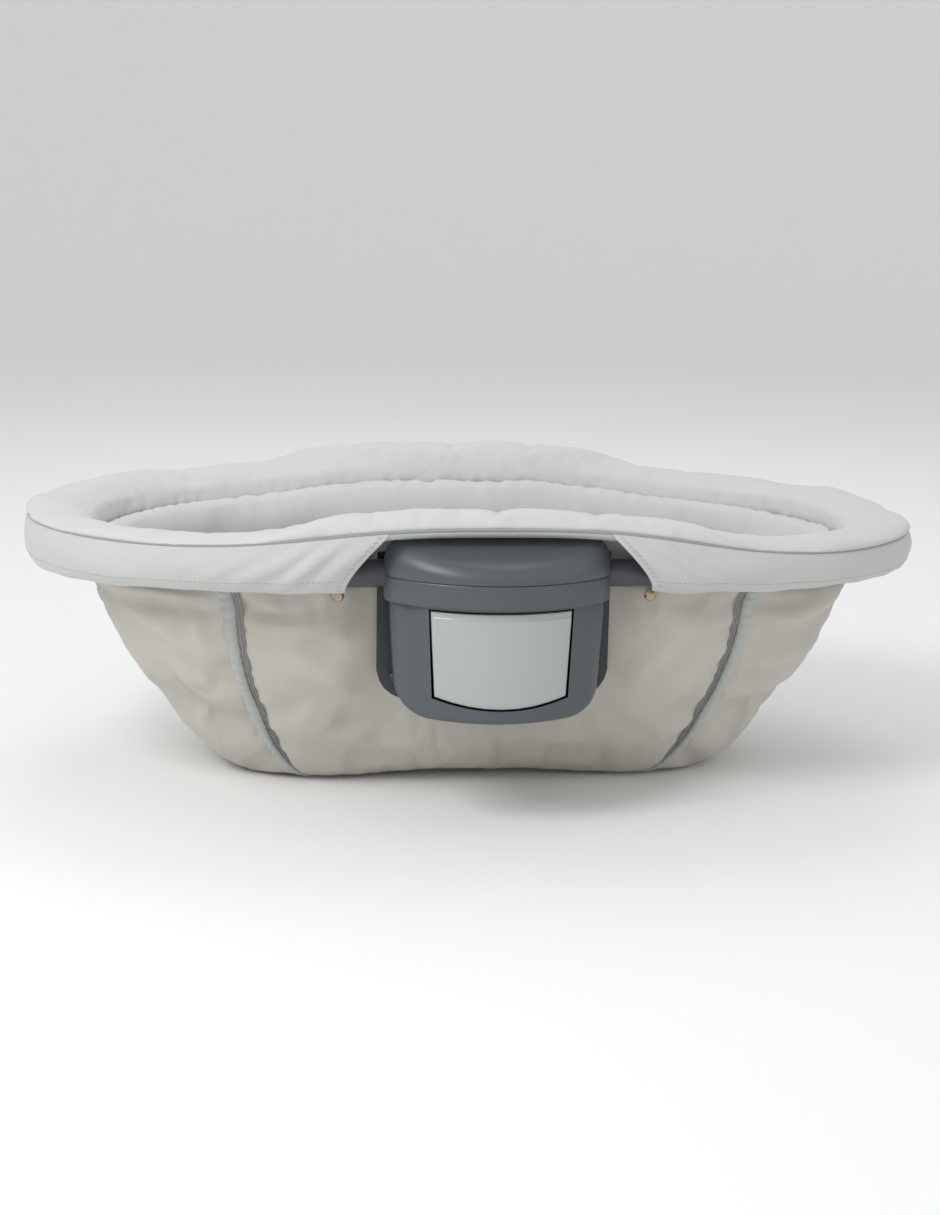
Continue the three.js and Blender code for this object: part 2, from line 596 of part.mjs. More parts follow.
function releasePaddle() {
  const front = HUB_FRONT - PADDLE_INSET;
  const side = HUB_SIDE - PADDLE_INSET;
  const back = HUB_FRONT - PADDLE_INSET - PADDLE_WALL;
  const outside = prismZ(hubPlan(HUB_HALF_WIDTH, front, side, -HUB_BACK), PADDLE_BOTTOM, PADDLE_TOP, 14);
  const inside = prismZ(
    hubPlan(HUB_HALF_WIDTH, back, side - PADDLE_WALL, -HUB_BACK - 1), PADDLE_BOTTOM - 1, PADDLE_TOP + 1, 14);
  const outline = roundedRectangle(-PADDLE_HALF_WIDTH, PADDLE_HALF_WIDTH, PADDLE_BOTTOM, PADDLE_TOP, 11);
  const panel = cut(outside, inside).intersect(prismY(outline, 0, HUB_FRONT + 1, 5));
  const ears = [-1, 1].map((end) => block(
    end * EAR_OUT - EAR_WIDTH / 2, end * EAR_OUT + EAR_WIDTH / 2, PIN_OUT - 4.5, back - 2,
    PIN_HEIGHT - 4.5, PIN_HEIGHT + 4.5));
  const lug = block(
    -8, 8, latchFront + LATCH_PLAY, back + 1,
    LATCH_HEIGHT - LATCH_THICKNESS / 2 + LUG_LIFT, LATCH_HEIGHT + LATCH_THICKNESS);
  const bore = rodX(PIN_RADIUS + PIN_PLAY, -PADDLE_HALF_WIDTH, PADDLE_HALF_WIDTH, PIN_OUT, PIN_HEIGHT, 12);
  const extras = [...ears, lug].map((piece) => piece.intersect(outside));
  return geometryOf(cut(join(panel, ...extras), bore));
}

function paddlePin() {
  return geometryOf(rodX(PIN_RADIUS, -PIN_HALF_LENGTH, PIN_HALF_LENGTH, PIN_OUT, PIN_HEIGHT, 12));
}

// ---- harness ----

const linerFloor = 2 * SLING_FABRIC + BOARD_THICKNESS + 2 * SOFT_GAP + LINER_PADDING - SLING_FABRIC;
const buckleBottom = linerFloor + SOFT_GAP;
const tongueHeight = buckleBottom + BUCKLE_HEIGHT / 2;

// A band of webbing: its route drawn edge-on as a smooth line, given the webbing's thickness.
function ribbon(points, thickness, samples) {
  const curve = new THREE.SplineCurve(points.map(([a, b]) => new THREE.Vector2(a, b)));
  const upper = [];
  const lower = [];
  for (let i = 0; i <= samples; i += 1) {
    const point = curve.getPointAt(i / samples);
    const along = curve.getTangentAt(i / samples);
    const across = new THREE.Vector2(-along.y, along.x).multiplyScalar(thickness / 2);
    upper.push(point.clone().add(across));
    lower.unshift(point.clone().sub(across));
  }
  return new THREE.Shape([...upper, ...lower]);
}

// Half-width of the liner's inner wall above a height, at the middle of the seat.
function linerWall(z) {
  return tubOutside(z)[1] - SLING_FABRIC - LINER_STANDOFF - LINER_PADDING;
}

const strapAnchor = tongueHeight + 50;
const strapFoot = tongueHeight + 14;
const strapOff = 6.5;

// The straight stretch of a waist strap, which its slider runs along, from the seat side down.
const strapTop = [linerWall(strapAnchor) - strapOff, strapAnchor];
const strapBottom = [linerWall(strapFoot) - strapOff, strapFoot];

function alongStrap(share) {
  return [0, 1].map((axis) => strapTop[axis] + share * (strapBottom[axis] - strapTop[axis]));
}

function waistRoute() {
  const bar = BUCKLE_HALF_WIDTH + TONGUE_LENGTH - TONGUE_INSERT - 4;
  return [
    [linerWall(strapAnchor + 8) - 3.5, strapAnchor + 8],
    ...[0, 0.08, 0.2, 0.4, 0.6, 0.8, 0.92, 1].map(alongStrap),
    [bar + 12, tongueHeight + 4],
    [bar + 3, tongueHeight + 3.4],
    [bar - 4, tongueHeight],
    [bar + 3, tongueHeight - 3.2],
    [bar + 12, tongueHeight - 3],
  ];
}

function waistStrap(side) {
  const band = prismX(ribbon(waistRoute(), STRAP_THICKNESS, 36), -STRAP_WIDTH / 2, STRAP_WIDTH / 2);
  return geometryOf(side > 0 ? band : band.rotate([0, 0, 180]));
}

function strapSlider(side) {
  const middle = alongStrap(0.5);
  const slope = Math.atan2(strapTop[1] - strapBottom[1], strapTop[0] - strapBottom[0]);
  const half = SLIDER_LENGTH / 2;
  const across = STRAP_WIDTH / 2 + 3.5;
  const room = STRAP_THICKNESS / 2 + 0.7;
  const frame = prismX(roundedRectangle(
    -half, half, -SLIDER_THICKNESS / 2, SLIDER_THICKNESS / 2, 2), -across, across, 3);
  const throat = block(-STRAP_WIDTH / 2 - 0.8, STRAP_WIDTH / 2 + 0.8, -half - 1, half + 1, -room, room);
  const turned = cut(frame, throat).rotate([THREE.MathUtils.radToDeg(slope), 0, 0]);
  const placed = turned.translate([0, middle[0], middle[1]]);
  return geometryOf(side > 0 ? placed : placed.rotate([0, 0, 180]));
}

function buckleTongue(side) {
  const start = BUCKLE_HALF_WIDTH - TONGUE_INSERT;
  const end = start + TONGUE_LENGTH;
  const shape = new THREE.Shape();
  shape.moveTo(-TONGUE_HALF_WIDTH, start);
  shape.lineTo(TONGUE_HALF_WIDTH, start);
  shape.lineTo(TONGUE_HALF_WIDTH, BUCKLE_HALF_WIDTH + 2);
  shape.lineTo(TONGUE_HALF_FLARE, BUCKLE_HALF_WIDTH + 7);
  shape.lineTo(TONGUE_HALF_FLARE, end - 3);
  shape.lineTo(TONGUE_HALF_FLARE - 3, end);
  shape.lineTo(-TONGUE_HALF_FLARE + 3, end);
  shape.lineTo(-TONGUE_HALF_FLARE, end - 3);
  shape.lineTo(-TONGUE_HALF_FLARE, BUCKLE_HALF_WIDTH + 7);
  shape.lineTo(-TONGUE_HALF_WIDTH, BUCKLE_HALF_WIDTH + 2);
  const plate = prismZ(shape, tongueHeight - TONGUE_THICKNESS / 2, tongueHeight + TONGUE_THICKNESS / 2);
  const slot = block(
    -STRAP_WIDTH / 2 - 0.8, STRAP_WIDTH / 2 + 0.8, end - 12.5, end - 4.5, tongueHeight - 5, tongueHeight + 5);
  const piece = cut(plate, slot);
  return geometryOf(side > 0 ? piece : piece.rotate([0, 0, 180]));
}

function buckleBody() {
  const outline = roundedRectangle(
    -BUCKLE_HALF_LENGTH, BUCKLE_HALF_LENGTH, -BUCKLE_HALF_WIDTH, BUCKLE_HALF_WIDTH, BUCKLE_CORNER);
  const body = prismZ(outline, buckleBottom, buckleBottom + BUCKLE_HEIGHT, 5);
  const well = rodZ(BUTTON_RADIUS + BUTTON_PLAY, buttonSeat - BUTTON_TRAVEL - 0.5, buckleBottom + BUCKLE_HEIGHT + 1, 4, 0);
  const slots = [-1, 1].map((side) => block(
    -TONGUE_HALF_WIDTH - 0.5, TONGUE_HALF_WIDTH + 0.5,
    side > 0 ? BUCKLE_HALF_WIDTH - TONGUE_INSERT - 1 : -BUCKLE_HALF_WIDTH - 1,
    side > 0 ? BUCKLE_HALF_WIDTH + 1 : -BUCKLE_HALF_WIDTH + TONGUE_INSERT + 1,
    tongueHeight - TONGUE_THICKNESS / 2 - 0.4, tongueHeight + TONGUE_THICKNESS / 2 + 0.4));
  const strapSlot = block(
    -BUCKLE_HALF_LENGTH + 4, -BUCKLE_HALF_LENGTH + 9, -STRAP_WIDTH / 2 - 0.8, STRAP_WIDTH / 2 + 0.8,
    buckleBottom - 1, buckleBottom + BUCKLE_HEIGHT + 1);
  const relief = block(
    -BUCKLE_HALF_LENGTH - 1, -BUCKLE_HALF_LENGTH + 4.5, -STRAP_WIDTH / 2 - 0.8, STRAP_WIDTH / 2 + 0.8,
    tongueHeight + 2.2, buckleBottom + BUCKLE_HEIGHT + 1);
  const undercut = block(
    -BUCKLE_HALF_LENGTH - 1, -BUCKLE_HALF_LENGTH + 4.5, -STRAP_WIDTH / 2 - 0.8, STRAP_WIDTH / 2 + 0.8,
    buckleBottom - 1, tongueHeight - 2.2);
  return geometryOf(cut(body, well, ...slots, strapSlot, relief, undercut));
}

const buttonSeat = buckleBottom + BUCKLE_HEIGHT - 4.5;

function buckleButton() {
  const top = buckleBottom + BUCKLE_HEIGHT + BUTTON_PROUD;
  const profile = [
    [0, buttonSeat], [BUTTON_RADIUS, buttonSeat], [BUTTON_RADIUS, top - 1], [BUTTON_RADIUS - 1.2, top], [0, top],
  ];
  const geometry = new THREE.LatheGeometry(profile.map(([r, z]) => new THREE.Vector2(r, z)), 16);
  return geometryOf(solidOf(geometry.rotateX(Math.PI / 2).translate(4, 0, 0)));
}

function crotchStrap() {
  const bar = -BUCKLE_HALF_LENGTH + 2.2;
  const lie = linerFloor + 1.6;
  const route = [
    [-112, lie], [-85, lie], [bar - 22, lie + 0.6], [bar - 8, tongueHeight - 4], [bar + 1, tongueHeight - 4.2],
    [bar + 4.6, tongueHeight], [bar + 1, tongueHeight + 4.2], [bar - 8, tongueHeight + 3], [bar - 26, lie + 4.5],
    [bar - 40, lie + 3],
  ];
  return geometryOf(prismY(ribbon(route, STRAP_THICKNESS, 32), -STRAP_WIDTH / 2, STRAP_WIDTH / 2));
}

// ---- press studs that hold the sling's hem beside each hub ----

function slingSnap(endX, side) {
  const [halfLength, halfWidth] = tubOutside(SNAP_HEIGHT);
  let angle = Math.PI / 2;
  let place = tubPlace([halfLength, halfWidth, SNAP_HEIGHT], angle);
  while (place.x < SNAP_PLACE) {
    angle -= 0.002;
    place = tubPlace([halfLength, halfWidth, SNAP_HEIGHT], angle);
  }
  const above = tubPlace([...tubOutside(SNAP_HEIGHT + 5), SNAP_HEIGHT + 5], angle);
  const lean = Math.atan2(above.y - place.y, 5);
  const profile = [
    [0, 0], [SNAP_RADIUS, 0], [SNAP_RADIUS, SNAP_THICKNESS * 0.4], [SNAP_RADIUS * 0.7, SNAP_THICKNESS],
    [SNAP_RADIUS * 0.4, SNAP_THICKNESS * 0.8], [0, SNAP_THICKNESS * 0.8],
  ];
  const geometry = new THREE.LatheGeometry(profile.map(([r, y]) => new THREE.Vector2(r, y)), 10);
  geometry.translate(0, SOFT_GAP, 0).rotateX(-lean).translate(place.x, place.y, SNAP_HEIGHT);
  if (endX * side < 0) geometry.scale(-1, 1, 1);
  if (side < 0) geometry.rotateZ(Math.PI);
  if (endX * side < 0) {
    const index = geometry.index.array;
    for (let i = 0; i < index.length; i += 3) [index[i], index[i + 1]] = [index[i + 1], index[i]];
  }
  return geometryOf(solidOf(geometry));
}

// ---- finishes ----

const FINISHES = {
  rollFabric: { color: 0xd2d4d3, roughness: 0.9, metalness: 0 },
  linerFabric: { color: 0xcdcfce, roughness: 0.95, metalness: 0 },
  slingFabric: { color: 0xb5b0a6, roughness: 0.9, metalness: 0 },
  hubPlastic: { color: 0x53585d, roughness: 0.35, metalness: 0 },
  darkPlastic: { color: 0x3a3d40, roughness: 0.5, metalness: 0 },
  palePlastic: { color: 0xb2b6b3, roughness: 0.45, metalness: 0 },
  tubePaint: { color: 0x45424a, roughness: 0.45, metalness: 0.4 },
  steel: { color: 0xb9bcc0, roughness: 0.3, metalness: 1 },
  webbing: { color: 0x8b8e90, roughness: 0.85, metalness: 0 },
  board: { color: 0x6f6f6c, roughness: 0.7, metalness: 0 },
};

const seat = new THREE.Group();

function add(parent, name, geometry, finish) {
  const mesh = new THREE.Mesh(geometry, new THREE.MeshStandardMaterial(FINISHES[finish]));
  mesh.name = name;
  parent.add(mesh);
  return mesh;
}

// ---- assembly ----

add(seat, 'rim_tube_head', rimTube(), 'tubePaint');
add(seat, 'rim_tube_foot', rimTube(), 'tubePaint').rotation.z = Math.PI;
add(seat, 'rim_bolster', rimRoll(), 'rollFabric');
add(seat, 'sling_shell', slingShell(), 'slingFabric');
add(seat, 'seat_liner', seatLiner(), 'linerFabric');
add(seat, 'base_board', baseBoard(), 'board');

for (const [name, side] of [['left', -1], ['right', 1]]) {
  const hub = new THREE.Group();
  hub.position.y = side * RIM_HALF_WIDTH;
  hub.rotation.z = side < 0 ? Math.PI : 0;
  add(hub, `tube_joiner_${name}`, tubeJoiner(), 'steel');
  add(hub, `hub_housing_${name}`, hubHousing(), 'hubPlastic');
  add(hub, `hub_cap_${name}`, hubCap(), 'hubPlastic');
  add(hub, `hub_back_plate_${name}`, hubBackPlate(), 'darkPlastic');
  add(hub, `post_socket_${name}`, postSocket(), 'darkPlastic');
  add(hub, `release_paddle_${name}`, releasePaddle(), 'palePlastic');
  add(hub, `paddle_pin_${name}`, paddlePin(), 'steel');
  add(hub, `latch_slider_${name}`, latchSlider(), 'steel');
  add(hub, `latch_spring_${name}`, latchSpring(), 'steel');
  for (const [corner, across, height] of [
    ['lower_head', side * SCREW_ACROSS, SCREW_LOW], ['lower_foot', -side * SCREW_ACROSS, SCREW_LOW],
    ['upper_head', side * SCREW_ACROSS, SCREW_HIGH], ['upper_foot', -side * SCREW_ACROSS, SCREW_HIGH],
  ]) {
    add(hub, `hub_screw_${name}_${corner}`, hubScrew(across, height), 'steel');
  }
  seat.add(hub);

  add(seat, `waist_strap_${name}`, waistStrap(side), 'webbing');
  add(seat, `strap_slider_${name}`, strapSlider(side), 'darkPlastic');
  add(seat, `buckle_tongue_${name}`, buckleTongue(side), 'darkPlastic');
  add(seat, `sling_snap_${name}_head`, slingSnap(1, side), 'steel');
  add(seat, `sling_snap_${name}_foot`, slingSnap(-1, side), 'steel');
}

add(seat, 'crotch_strap', crotchStrap(), 'webbing');
add(seat, 'buckle_body', buckleBody(), 'darkPlastic');
add(seat, 'buckle_button', buckleButton(), 'palePlastic');

export default seat;
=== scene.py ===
import bmesh
import bpy
import math
from mathutils import Matrix, Vector, noise


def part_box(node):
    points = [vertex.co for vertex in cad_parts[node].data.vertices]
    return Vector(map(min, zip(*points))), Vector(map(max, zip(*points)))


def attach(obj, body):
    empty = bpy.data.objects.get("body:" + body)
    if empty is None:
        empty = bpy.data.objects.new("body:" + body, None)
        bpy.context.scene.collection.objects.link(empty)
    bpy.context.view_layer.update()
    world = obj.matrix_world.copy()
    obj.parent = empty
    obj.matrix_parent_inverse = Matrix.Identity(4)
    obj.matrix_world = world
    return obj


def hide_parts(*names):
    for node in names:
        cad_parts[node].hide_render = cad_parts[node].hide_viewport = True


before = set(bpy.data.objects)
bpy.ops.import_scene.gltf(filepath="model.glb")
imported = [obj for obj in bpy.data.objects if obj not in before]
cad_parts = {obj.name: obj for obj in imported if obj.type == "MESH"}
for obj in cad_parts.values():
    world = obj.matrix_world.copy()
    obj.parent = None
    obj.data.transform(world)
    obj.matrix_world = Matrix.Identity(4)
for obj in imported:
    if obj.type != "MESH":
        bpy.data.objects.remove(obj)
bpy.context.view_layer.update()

# ------------------------------------------------------------------ studio
# A pale floor that curves up into a backdrop under an even white sky, with one large soft light from
# the front left and weaker ones from the right and behind. The seat lies on its own fabric bottom.

scene = bpy.context.scene
scene.view_settings.view_transform = "Standard"
SEAT_MIDDLE = Vector((0, 0, 0.131))
CAMERA_AZIMUTH = math.radians(-6.2)
CAMERA_HEIGHT = math.radians(12.2)
CAMERA_TILT = math.radians(1.1)
CAMERA_DISTANCE = 1.8


def aim(azimuth, height):
    """Unit vector from the seat towards a viewer or a light."""
    level = math.cos(height)
    return Vector((math.sin(azimuth) * level, -math.cos(azimuth) * level, math.sin(height)))


back = aim(CAMERA_AZIMUTH, CAMERA_HEIGHT)
side = Vector((0, 0, 1)).cross(back).normalized()
lens = bpy.data.cameras.new("camera")
lens.lens = 60.4
camera = bpy.data.objects.new("camera", lens)
upright = Matrix((side, back.cross(side), back)).transposed()
camera.matrix_world = (
    Matrix.Translation(SEAT_MIDDLE + back * CAMERA_DISTANCE)
    @ (upright @ Matrix.Rotation(CAMERA_TILT, 3, "Z")).to_4x4()
)
scene.collection.objects.link(camera)
scene.camera = camera

sky = bpy.data.worlds.new("sky")
sky.use_nodes = True
sky.node_tree.nodes["Background"].inputs["Color"].default_value = (0.98, 1, 1, 1)
sky.node_tree.nodes["Background"].inputs["Strength"].default_value = 0.64
scene.world = sky

LIGHTS = [
    # name, azimuth, height, distance, size, power
    ("key", -46, 42, 2.2, 0.8, 21),
    ("fill", 55, 22, 2.6, 1.8, 4),
    ("rim", 170, 55, 2.2, 1.4, 8),
]
for name, azimuth, height, distance, size, power in LIGHTS:
    lamp = bpy.data.lights.new(name, "AREA")
    lamp.size = size
    lamp.energy = power
    holder = bpy.data.objects.new(name, lamp)
    direction = aim(math.radians(azimuth), math.radians(height))
    holder.location = SEAT_MIDDLE + direction * distance
    holder.rotation_mode = "QUATERNION"
    holder.rotation_quaternion = direction.to_track_quat("Z", "Y")
    scene.collection.objects.link(holder)


class Wire:
    """A value in a material, with Python's arithmetic on it."""

    def __init__(self, tree, socket):
        self.tree = tree
        self.socket = socket

    def maths(self, operation, other, swap=False):
        node = self.tree.nodes.new("ShaderNodeMath")
        node.operation = operation
        for slot, value in zip(node.inputs, (other, self) if swap else (self, other)):
            if isinstance(value, Wire):
                self.tree.links.new(value.socket, slot)
            else:
                slot.default_value = value
        return Wire(self.tree, node.outputs[0])

    def __add__(self, other):
        return self.maths("ADD", other)

    __radd__ = __add__

    def __sub__(self, other):
        return self.maths("SUBTRACT", other)

    def __rsub__(self, other):
        return self.maths("SUBTRACT", other, swap=True)

    def __mul__(self, other):
        return self.maths("MULTIPLY", other)

    __rmul__ = __mul__

    def __truediv__(self, other):
        return self.maths("DIVIDE", other)

    def __pow__(self, other):
        return self.maths("POWER", other)


class Finish:
    """One surface finish: a material on the Principled shader, with the nodes that vary it."""

    def __init__(self, name, colour, roughness, **fixed):
        self.material = bpy.data.materials.new(name)
        self.material.use_nodes = True
        self.tree = self.material.node_tree
        self.shader = self.tree.nodes["Principled BSDF"]
        self.colour = colour
        self.set("Base Color", (*colour, 1))
        self.set("Roughness", roughness)
        for key, value in fixed.items():
            self.set(key.replace("_", " ").title().replace("Ior", "IOR"), value)

    def set(self, socket, value):
        if isinstance(value, Wire):
            self.tree.links.new(value.socket, self.shader.inputs[socket])
        else:
            self.shader.inputs[socket].default_value = value

    def node(self, kind, settings, sockets, output=0):
        node = self.tree.nodes.new(kind)
        for key, value in settings.items():
            setattr(node, key, value)
        for key, value in sockets.items():
            if isinstance(value, Wire):
                self.tree.links.new(value.socket, node.inputs[key])
            else:
                node.inputs[key].default_value = value
        return Wire(self.tree, node.outputs[output])

    def place(self):
        return self.node("ShaderNodeTexCoord", {}, {}, "Object")

    def cloud(self, scale, detail=2.0):
        """Soft random mottling, with as many specks a metre as the scale says."""
        return self.node("ShaderNodeTexNoise", {}, {"Vector": self.place(), "Scale": scale, "Detail": detail})

    def threads(self, pitch):
        """Crossed ridges in all three directions, as far apart as the pitch."""
        scale = 2 * math.pi / (20 * pitch)
        ridges = [
            self.node("ShaderNodeTexWave", {"bands_direction": axis}, {
                "Vector": self.place(), "Scale": scale, "Distortion": 0.6, "Detail Scale": 2.0}, "Fac")
            for axis in "XYZ"]
        return (ridges[0] + ridges[1] + ridges[2]) / 3

    def tint(self, amount, other):
        """The colour runs from the finish's own to the other one as the amount goes from 0 to 1."""
        mix = self.tree.nodes.new("ShaderNodeMix")
        mix.data_type = "RGBA"
        colours = [socket for socket in mix.inputs if socket.type == "RGBA"]
        colours[0].default_value = (*self.colour, 1)
        colours[1].default_value = (*other, 1)
        self.tree.links.new(amount.socket, mix.inputs[0])
        result = [socket for socket in mix.outputs if socket.type == "RGBA"][0]
        self.tree.links.new(result, self.shader.inputs["Base Color"])

    def relief(self, height, depth, strength=1.0):
        bump = self.node("ShaderNodeBump", {}, {"Height": height, "Distance": depth, "Strength": strength})
        self.set("Normal", bump)


floor_finish = Finish("floor", (0.93, 0.93, 0.93), 0.9)
floor_finish.set("Roughness", floor_finish.cloud(3.0) * 0.1 + 0.8)
shape = bmesh.new()
FLOOR_REACH = 4.0
BACKDROP_BEND = 2.0
profile = [(0.0, 0.0), (FLOOR_REACH, 0.0)]
for degrees in range(6, 91, 6):
    bend = math.radians(degrees)
    profile.append((FLOOR_REACH + BACKDROP_BEND * math.sin(bend), BACKDROP_BEND * (1 - math.cos(bend))))
corners = [shape.verts.new((x, 0, z)) for x, z in profile]
edges = [shape.edges.new(pair) for pair in zip(corners, corners[1:])]
bmesh.ops.spin(
    shape, geom=corners + edges, cent=(0, 0, 0), axis=(0, 0, 1), dvec=(0, 0, 0), angle=2 * math.pi,
    steps=64, use_merge=True, use_normal_flip=False, use_duplicate=False)
bmesh.ops.remove_doubles(shape, verts=shape.verts, dist=1e-5)
bmesh.ops.recalc_face_normals(shape, faces=shape.faces)
ground = min(shape.faces, key=lambda face: face.calc_center_median().length)
if ground.normal.z < 0:
    bmesh.ops.reverse_faces(shape, faces=shape.faces)
for face in shape.faces:
    face.smooth = True
mesh = bpy.data.meshes.new("floor")
shape.to_mesh(mesh)
shape.free()
mesh.materials.append(floor_finish.material)
floor = bpy.data.objects.new("floor", mesh)
scene.collection.objects.link(floor)

# ------------------------------------------------------------------ rim tube
# Two bent halves of 22 mm steel tube, powder coated dark grey, that meet on a spigot inside each hub.
# Only short stretches of it show, between the hubs and the edges of the cover.

tube_low, tube_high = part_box("rim_tube_head")
TUBE_RADIUS = (tube_high.z - tube_low.z) / 2
RIM_HEIGHT = (tube_high.z + tube_low.z) / 2
RIM_HALF_LENGTH = tube_high.x - TUBE_RADIUS
RIM_HALF_WIDTH = tube_high.y - TUBE_RADIUS
RIM_STRAIGHT = 0.095
RIM_SQUARENESS = 2.3
QUARTER = math.pi / 2


def bent_quarter(angle, half_length, half_width, squareness):
    """A spot and its outward direction on the bent quarter of the oval, from its end round to its side."""
    straight = RIM_STRAIGHT * half_length / RIM_HALF_LENGTH
    c, s = abs(math.cos(angle)), abs(math.sin(angle))
    power = 2 / squareness
    bent = max(half_length - straight, 1e-6)
    out = Vector((c ** (2 - power) / bent, s ** (2 - power) / max(half_width, 1e-6)))
    return straight + bent * c ** power, half_width * s ** power, out.normalized()


BEND_STEPS = 600
bend_lengths = [0.0]
last = bent_quarter(0, RIM_HALF_LENGTH, RIM_HALF_WIDTH, RIM_SQUARENESS)
for step in range(1, BEND_STEPS + 1):
    spot = bent_quarter(QUARTER * step / BEND_STEPS, RIM_HALF_LENGTH, RIM_HALF_WIDTH, RIM_SQUARENESS)
    bend_lengths.append(bend_lengths[-1] + math.hypot(spot[0] - last[0], spot[1] - last[1]))
    last = spot
QUARTER_LENGTH = bend_lengths[-1] + RIM_STRAIGHT
RIM_LENGTH = 4 * QUARTER_LENGTH


def bend_angle(length):
    """The angle that lies a given way along the bent quarter."""
    low, high = 0, BEND_STEPS
    while high - low > 1:
        middle = (low + high) // 2
        low, high = (middle, high) if bend_lengths[middle] <= length else (low, middle)
    share = (length - bend_lengths[low]) / (bend_lengths[high] - bend_lengths[low])
    return QUARTER * (low + share) / BEND_STEPS


def oval(turn, half_length, half_width, squareness=RIM_SQUARENESS):
    """A spot on an oval like the rim and its outward direction; the turn runs from 0 at the head end to 1."""
    quarter, share = divmod((turn % 1.0) * 4, 1)
    length = (1 - share if quarter in (1, 3) else share) * QUARTER_LENGTH
    if length < bend_lengths[-1]:
        x, y, out = bent_quarter(bend_angle(length), half_length, half_width, squareness)
    else:
        left = 1 - (length - bend_lengths[-1]) / RIM_STRAIGHT
        x = left * RIM_STRAIGHT * half_length / RIM_HALF_LENGTH
        y, out = half_width, Vector((0, 1))
    along = 1 if quarter in (0, 3) else -1
    across = 1 if quarter in (0, 1) else -1
    return Vector((x * along, y * across)), Vector((out.x * along, out.y * across))


def add_piece(shape, name, finish, body="seat"):
    """Turns a finished bmesh into a smooth piece that rides on a body."""
    mesh = bpy.data.meshes.new(name)
    for face in shape.faces:
        face.smooth = True
    shape.to_mesh(mesh)
    shape.free()
    mesh.materials.append(finish.material)
    piece = bpy.data.objects.new(name, mesh)
    scene.collection.objects.link(piece)
    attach(piece, body)
    return piece


def spun_ring(section, columns, closed=True):
    """An outline in (outward, up) spun once round the upright axis on a circle one metre out."""
    shape = bmesh.new()
    first = [shape.verts.new((1 + outward, 0, up)) for outward, up in section]
    edges = [shape.edges.new(pair) for pair in zip(first, first[1:])]
    if closed:
        edges.append(shape.edges.new((first[-1], first[0])))
    bmesh.ops.spin(
        shape, geom=first + edges, cent=(0, 0, 0), axis=(0, 0, 1),
        angle=2 * math.pi, steps=columns, use_merge=True)
    shape.verts.index_update()
    return shape


def turn_of(place):
    return math.atan2(place.y, place.x) / (2 * math.pi)


def outward_of(place):
    return math.hypot(place.x, place.y) - 1


def bend_to_rim(shape, rise):
    """Moves a spun ring onto the rim; rise(x, outward) lifts it."""
    for vertex in shape.verts:
        turn, outward = turn_of(vertex.co), outward_of(vertex.co)
        spot, out = oval(turn, RIM_HALF_LENGTH, RIM_HALF_WIDTH)
        height = RIM_HEIGHT + vertex.co.z + rise(spot.x, outward)
        vertex.co = (spot.x + out.x * outward, spot.y + out.y * outward, height)
    bmesh.ops.recalc_face_normals(shape, faces=shape.faces)


def circle_section(radius, sides, outward=0.0, up=0.0):
    angles = [2 * math.pi * i / sides for i in range(sides)]
    return [(outward + radius * math.cos(angle), up + radius * math.sin(angle)) for angle in angles]


tube_finish = Finish("tube_coat", (0.06, 0.055, 0.066), 0.42, coat_weight=0.2, coat_roughness=0.3)
tube_finish.relief(tube_finish.cloud(900, 3), 0.0002, 0.3)
tube_finish.set("Roughness", tube_finish.cloud(60) * 0.2 + 0.3)
shape = spun_ring(circle_section(TUBE_RADIUS, 28), 260)
bend_to_rim(shape, lambda x, outward: 0)
rim_tube = add_piece(shape, "rim_tube", tube_finish)
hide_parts("rim_tube_head", "rim_tube_foot")

steel_finish = Finish("zinc_steel", (0.62, 0.62, 0.6), 0.32, metallic=1.0)
steel_finish.set("Roughness", steel_finish.cloud(220, 3) * 0.3 + 0.2)
steel_finish.relief(steel_finish.cloud(1500, 2), 0.0001, 0.3)
for name in ("tube_joiner_left", "tube_joiner_right"):
    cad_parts[name].data.materials[0] = steel_finish.material

# ------------------------------------------------------------------ fabric sling
# The tub that carries the child: taupe polyester in five sewn panels, hung from the rim, squarer at
# its floor. Wadded ribs with corded edges run down its four corner seams.


def smooth_line(points, count):
    """Evenly spaced spots on a smooth curve through the points."""
    points = [Vector(point) for point in points]
    dense = []
    for i in range(len(points) - 1):
        a, b, c, d = points[max(i - 1, 0)], points[i], points[i + 1], points[min(i + 2, len(points) - 1)]
        for step in range(24):
            t = step / 24
            dense.append((b * 2 + (c - a) * t + (a * 2 - b * 5 + c * 4 - d) * t ** 2
                          + (b * 3 - a - c * 3 + d) * t ** 3) / 2)
    dense.append(points[-1])
    lengths = [0.0]
    for one, two in zip(dense, dense[1:]):
        lengths.append(lengths[-1] + (two - one).length)
    result, at = [], 0
    for i in range(count):
        wanted = lengths[-1] * i / (count - 1)
        while at < len(lengths) - 2 and lengths[at + 1] < wanted:
            at += 1
        share = (wanted - lengths[at]) / max(lengths[at + 1] - lengths[at], 1e-9)
        result.append(dense[at].lerp(dense[at + 1], share))
    return result


def smooth_step(value, low, high):
    share = min(1, max(0, (value - low) / (high - low)))
    return share * share * (3 - 2 * share)


def fabric_finish(name, colour, shade, pitch=0.0006, sheen=0.2):
    """Plain woven polyester: crossed threads, slight mottling and a soft sheen."""
    finish = Finish(name, colour, 0.88, sheen_weight=sheen, sheen_roughness=0.5, specular_ior_level=0.25)
    fuzz = finish.cloud(2600, 2)
    finish.tint(finish.cloud(26, 3) * 0.7 + finish.cloud(420, 2) * 0.3, shade)
    finish.relief(finish.threads(pitch) * 0.6 + fuzz * 0.6, 0.0002, 0.45)
    finish.set("Roughness", fuzz * 0.12 + 0.8)
    return finish


sling_finish = fabric_finish("sling_fabric", (0.575, 0.55, 0.495), (0.52, 0.495, 0.44))

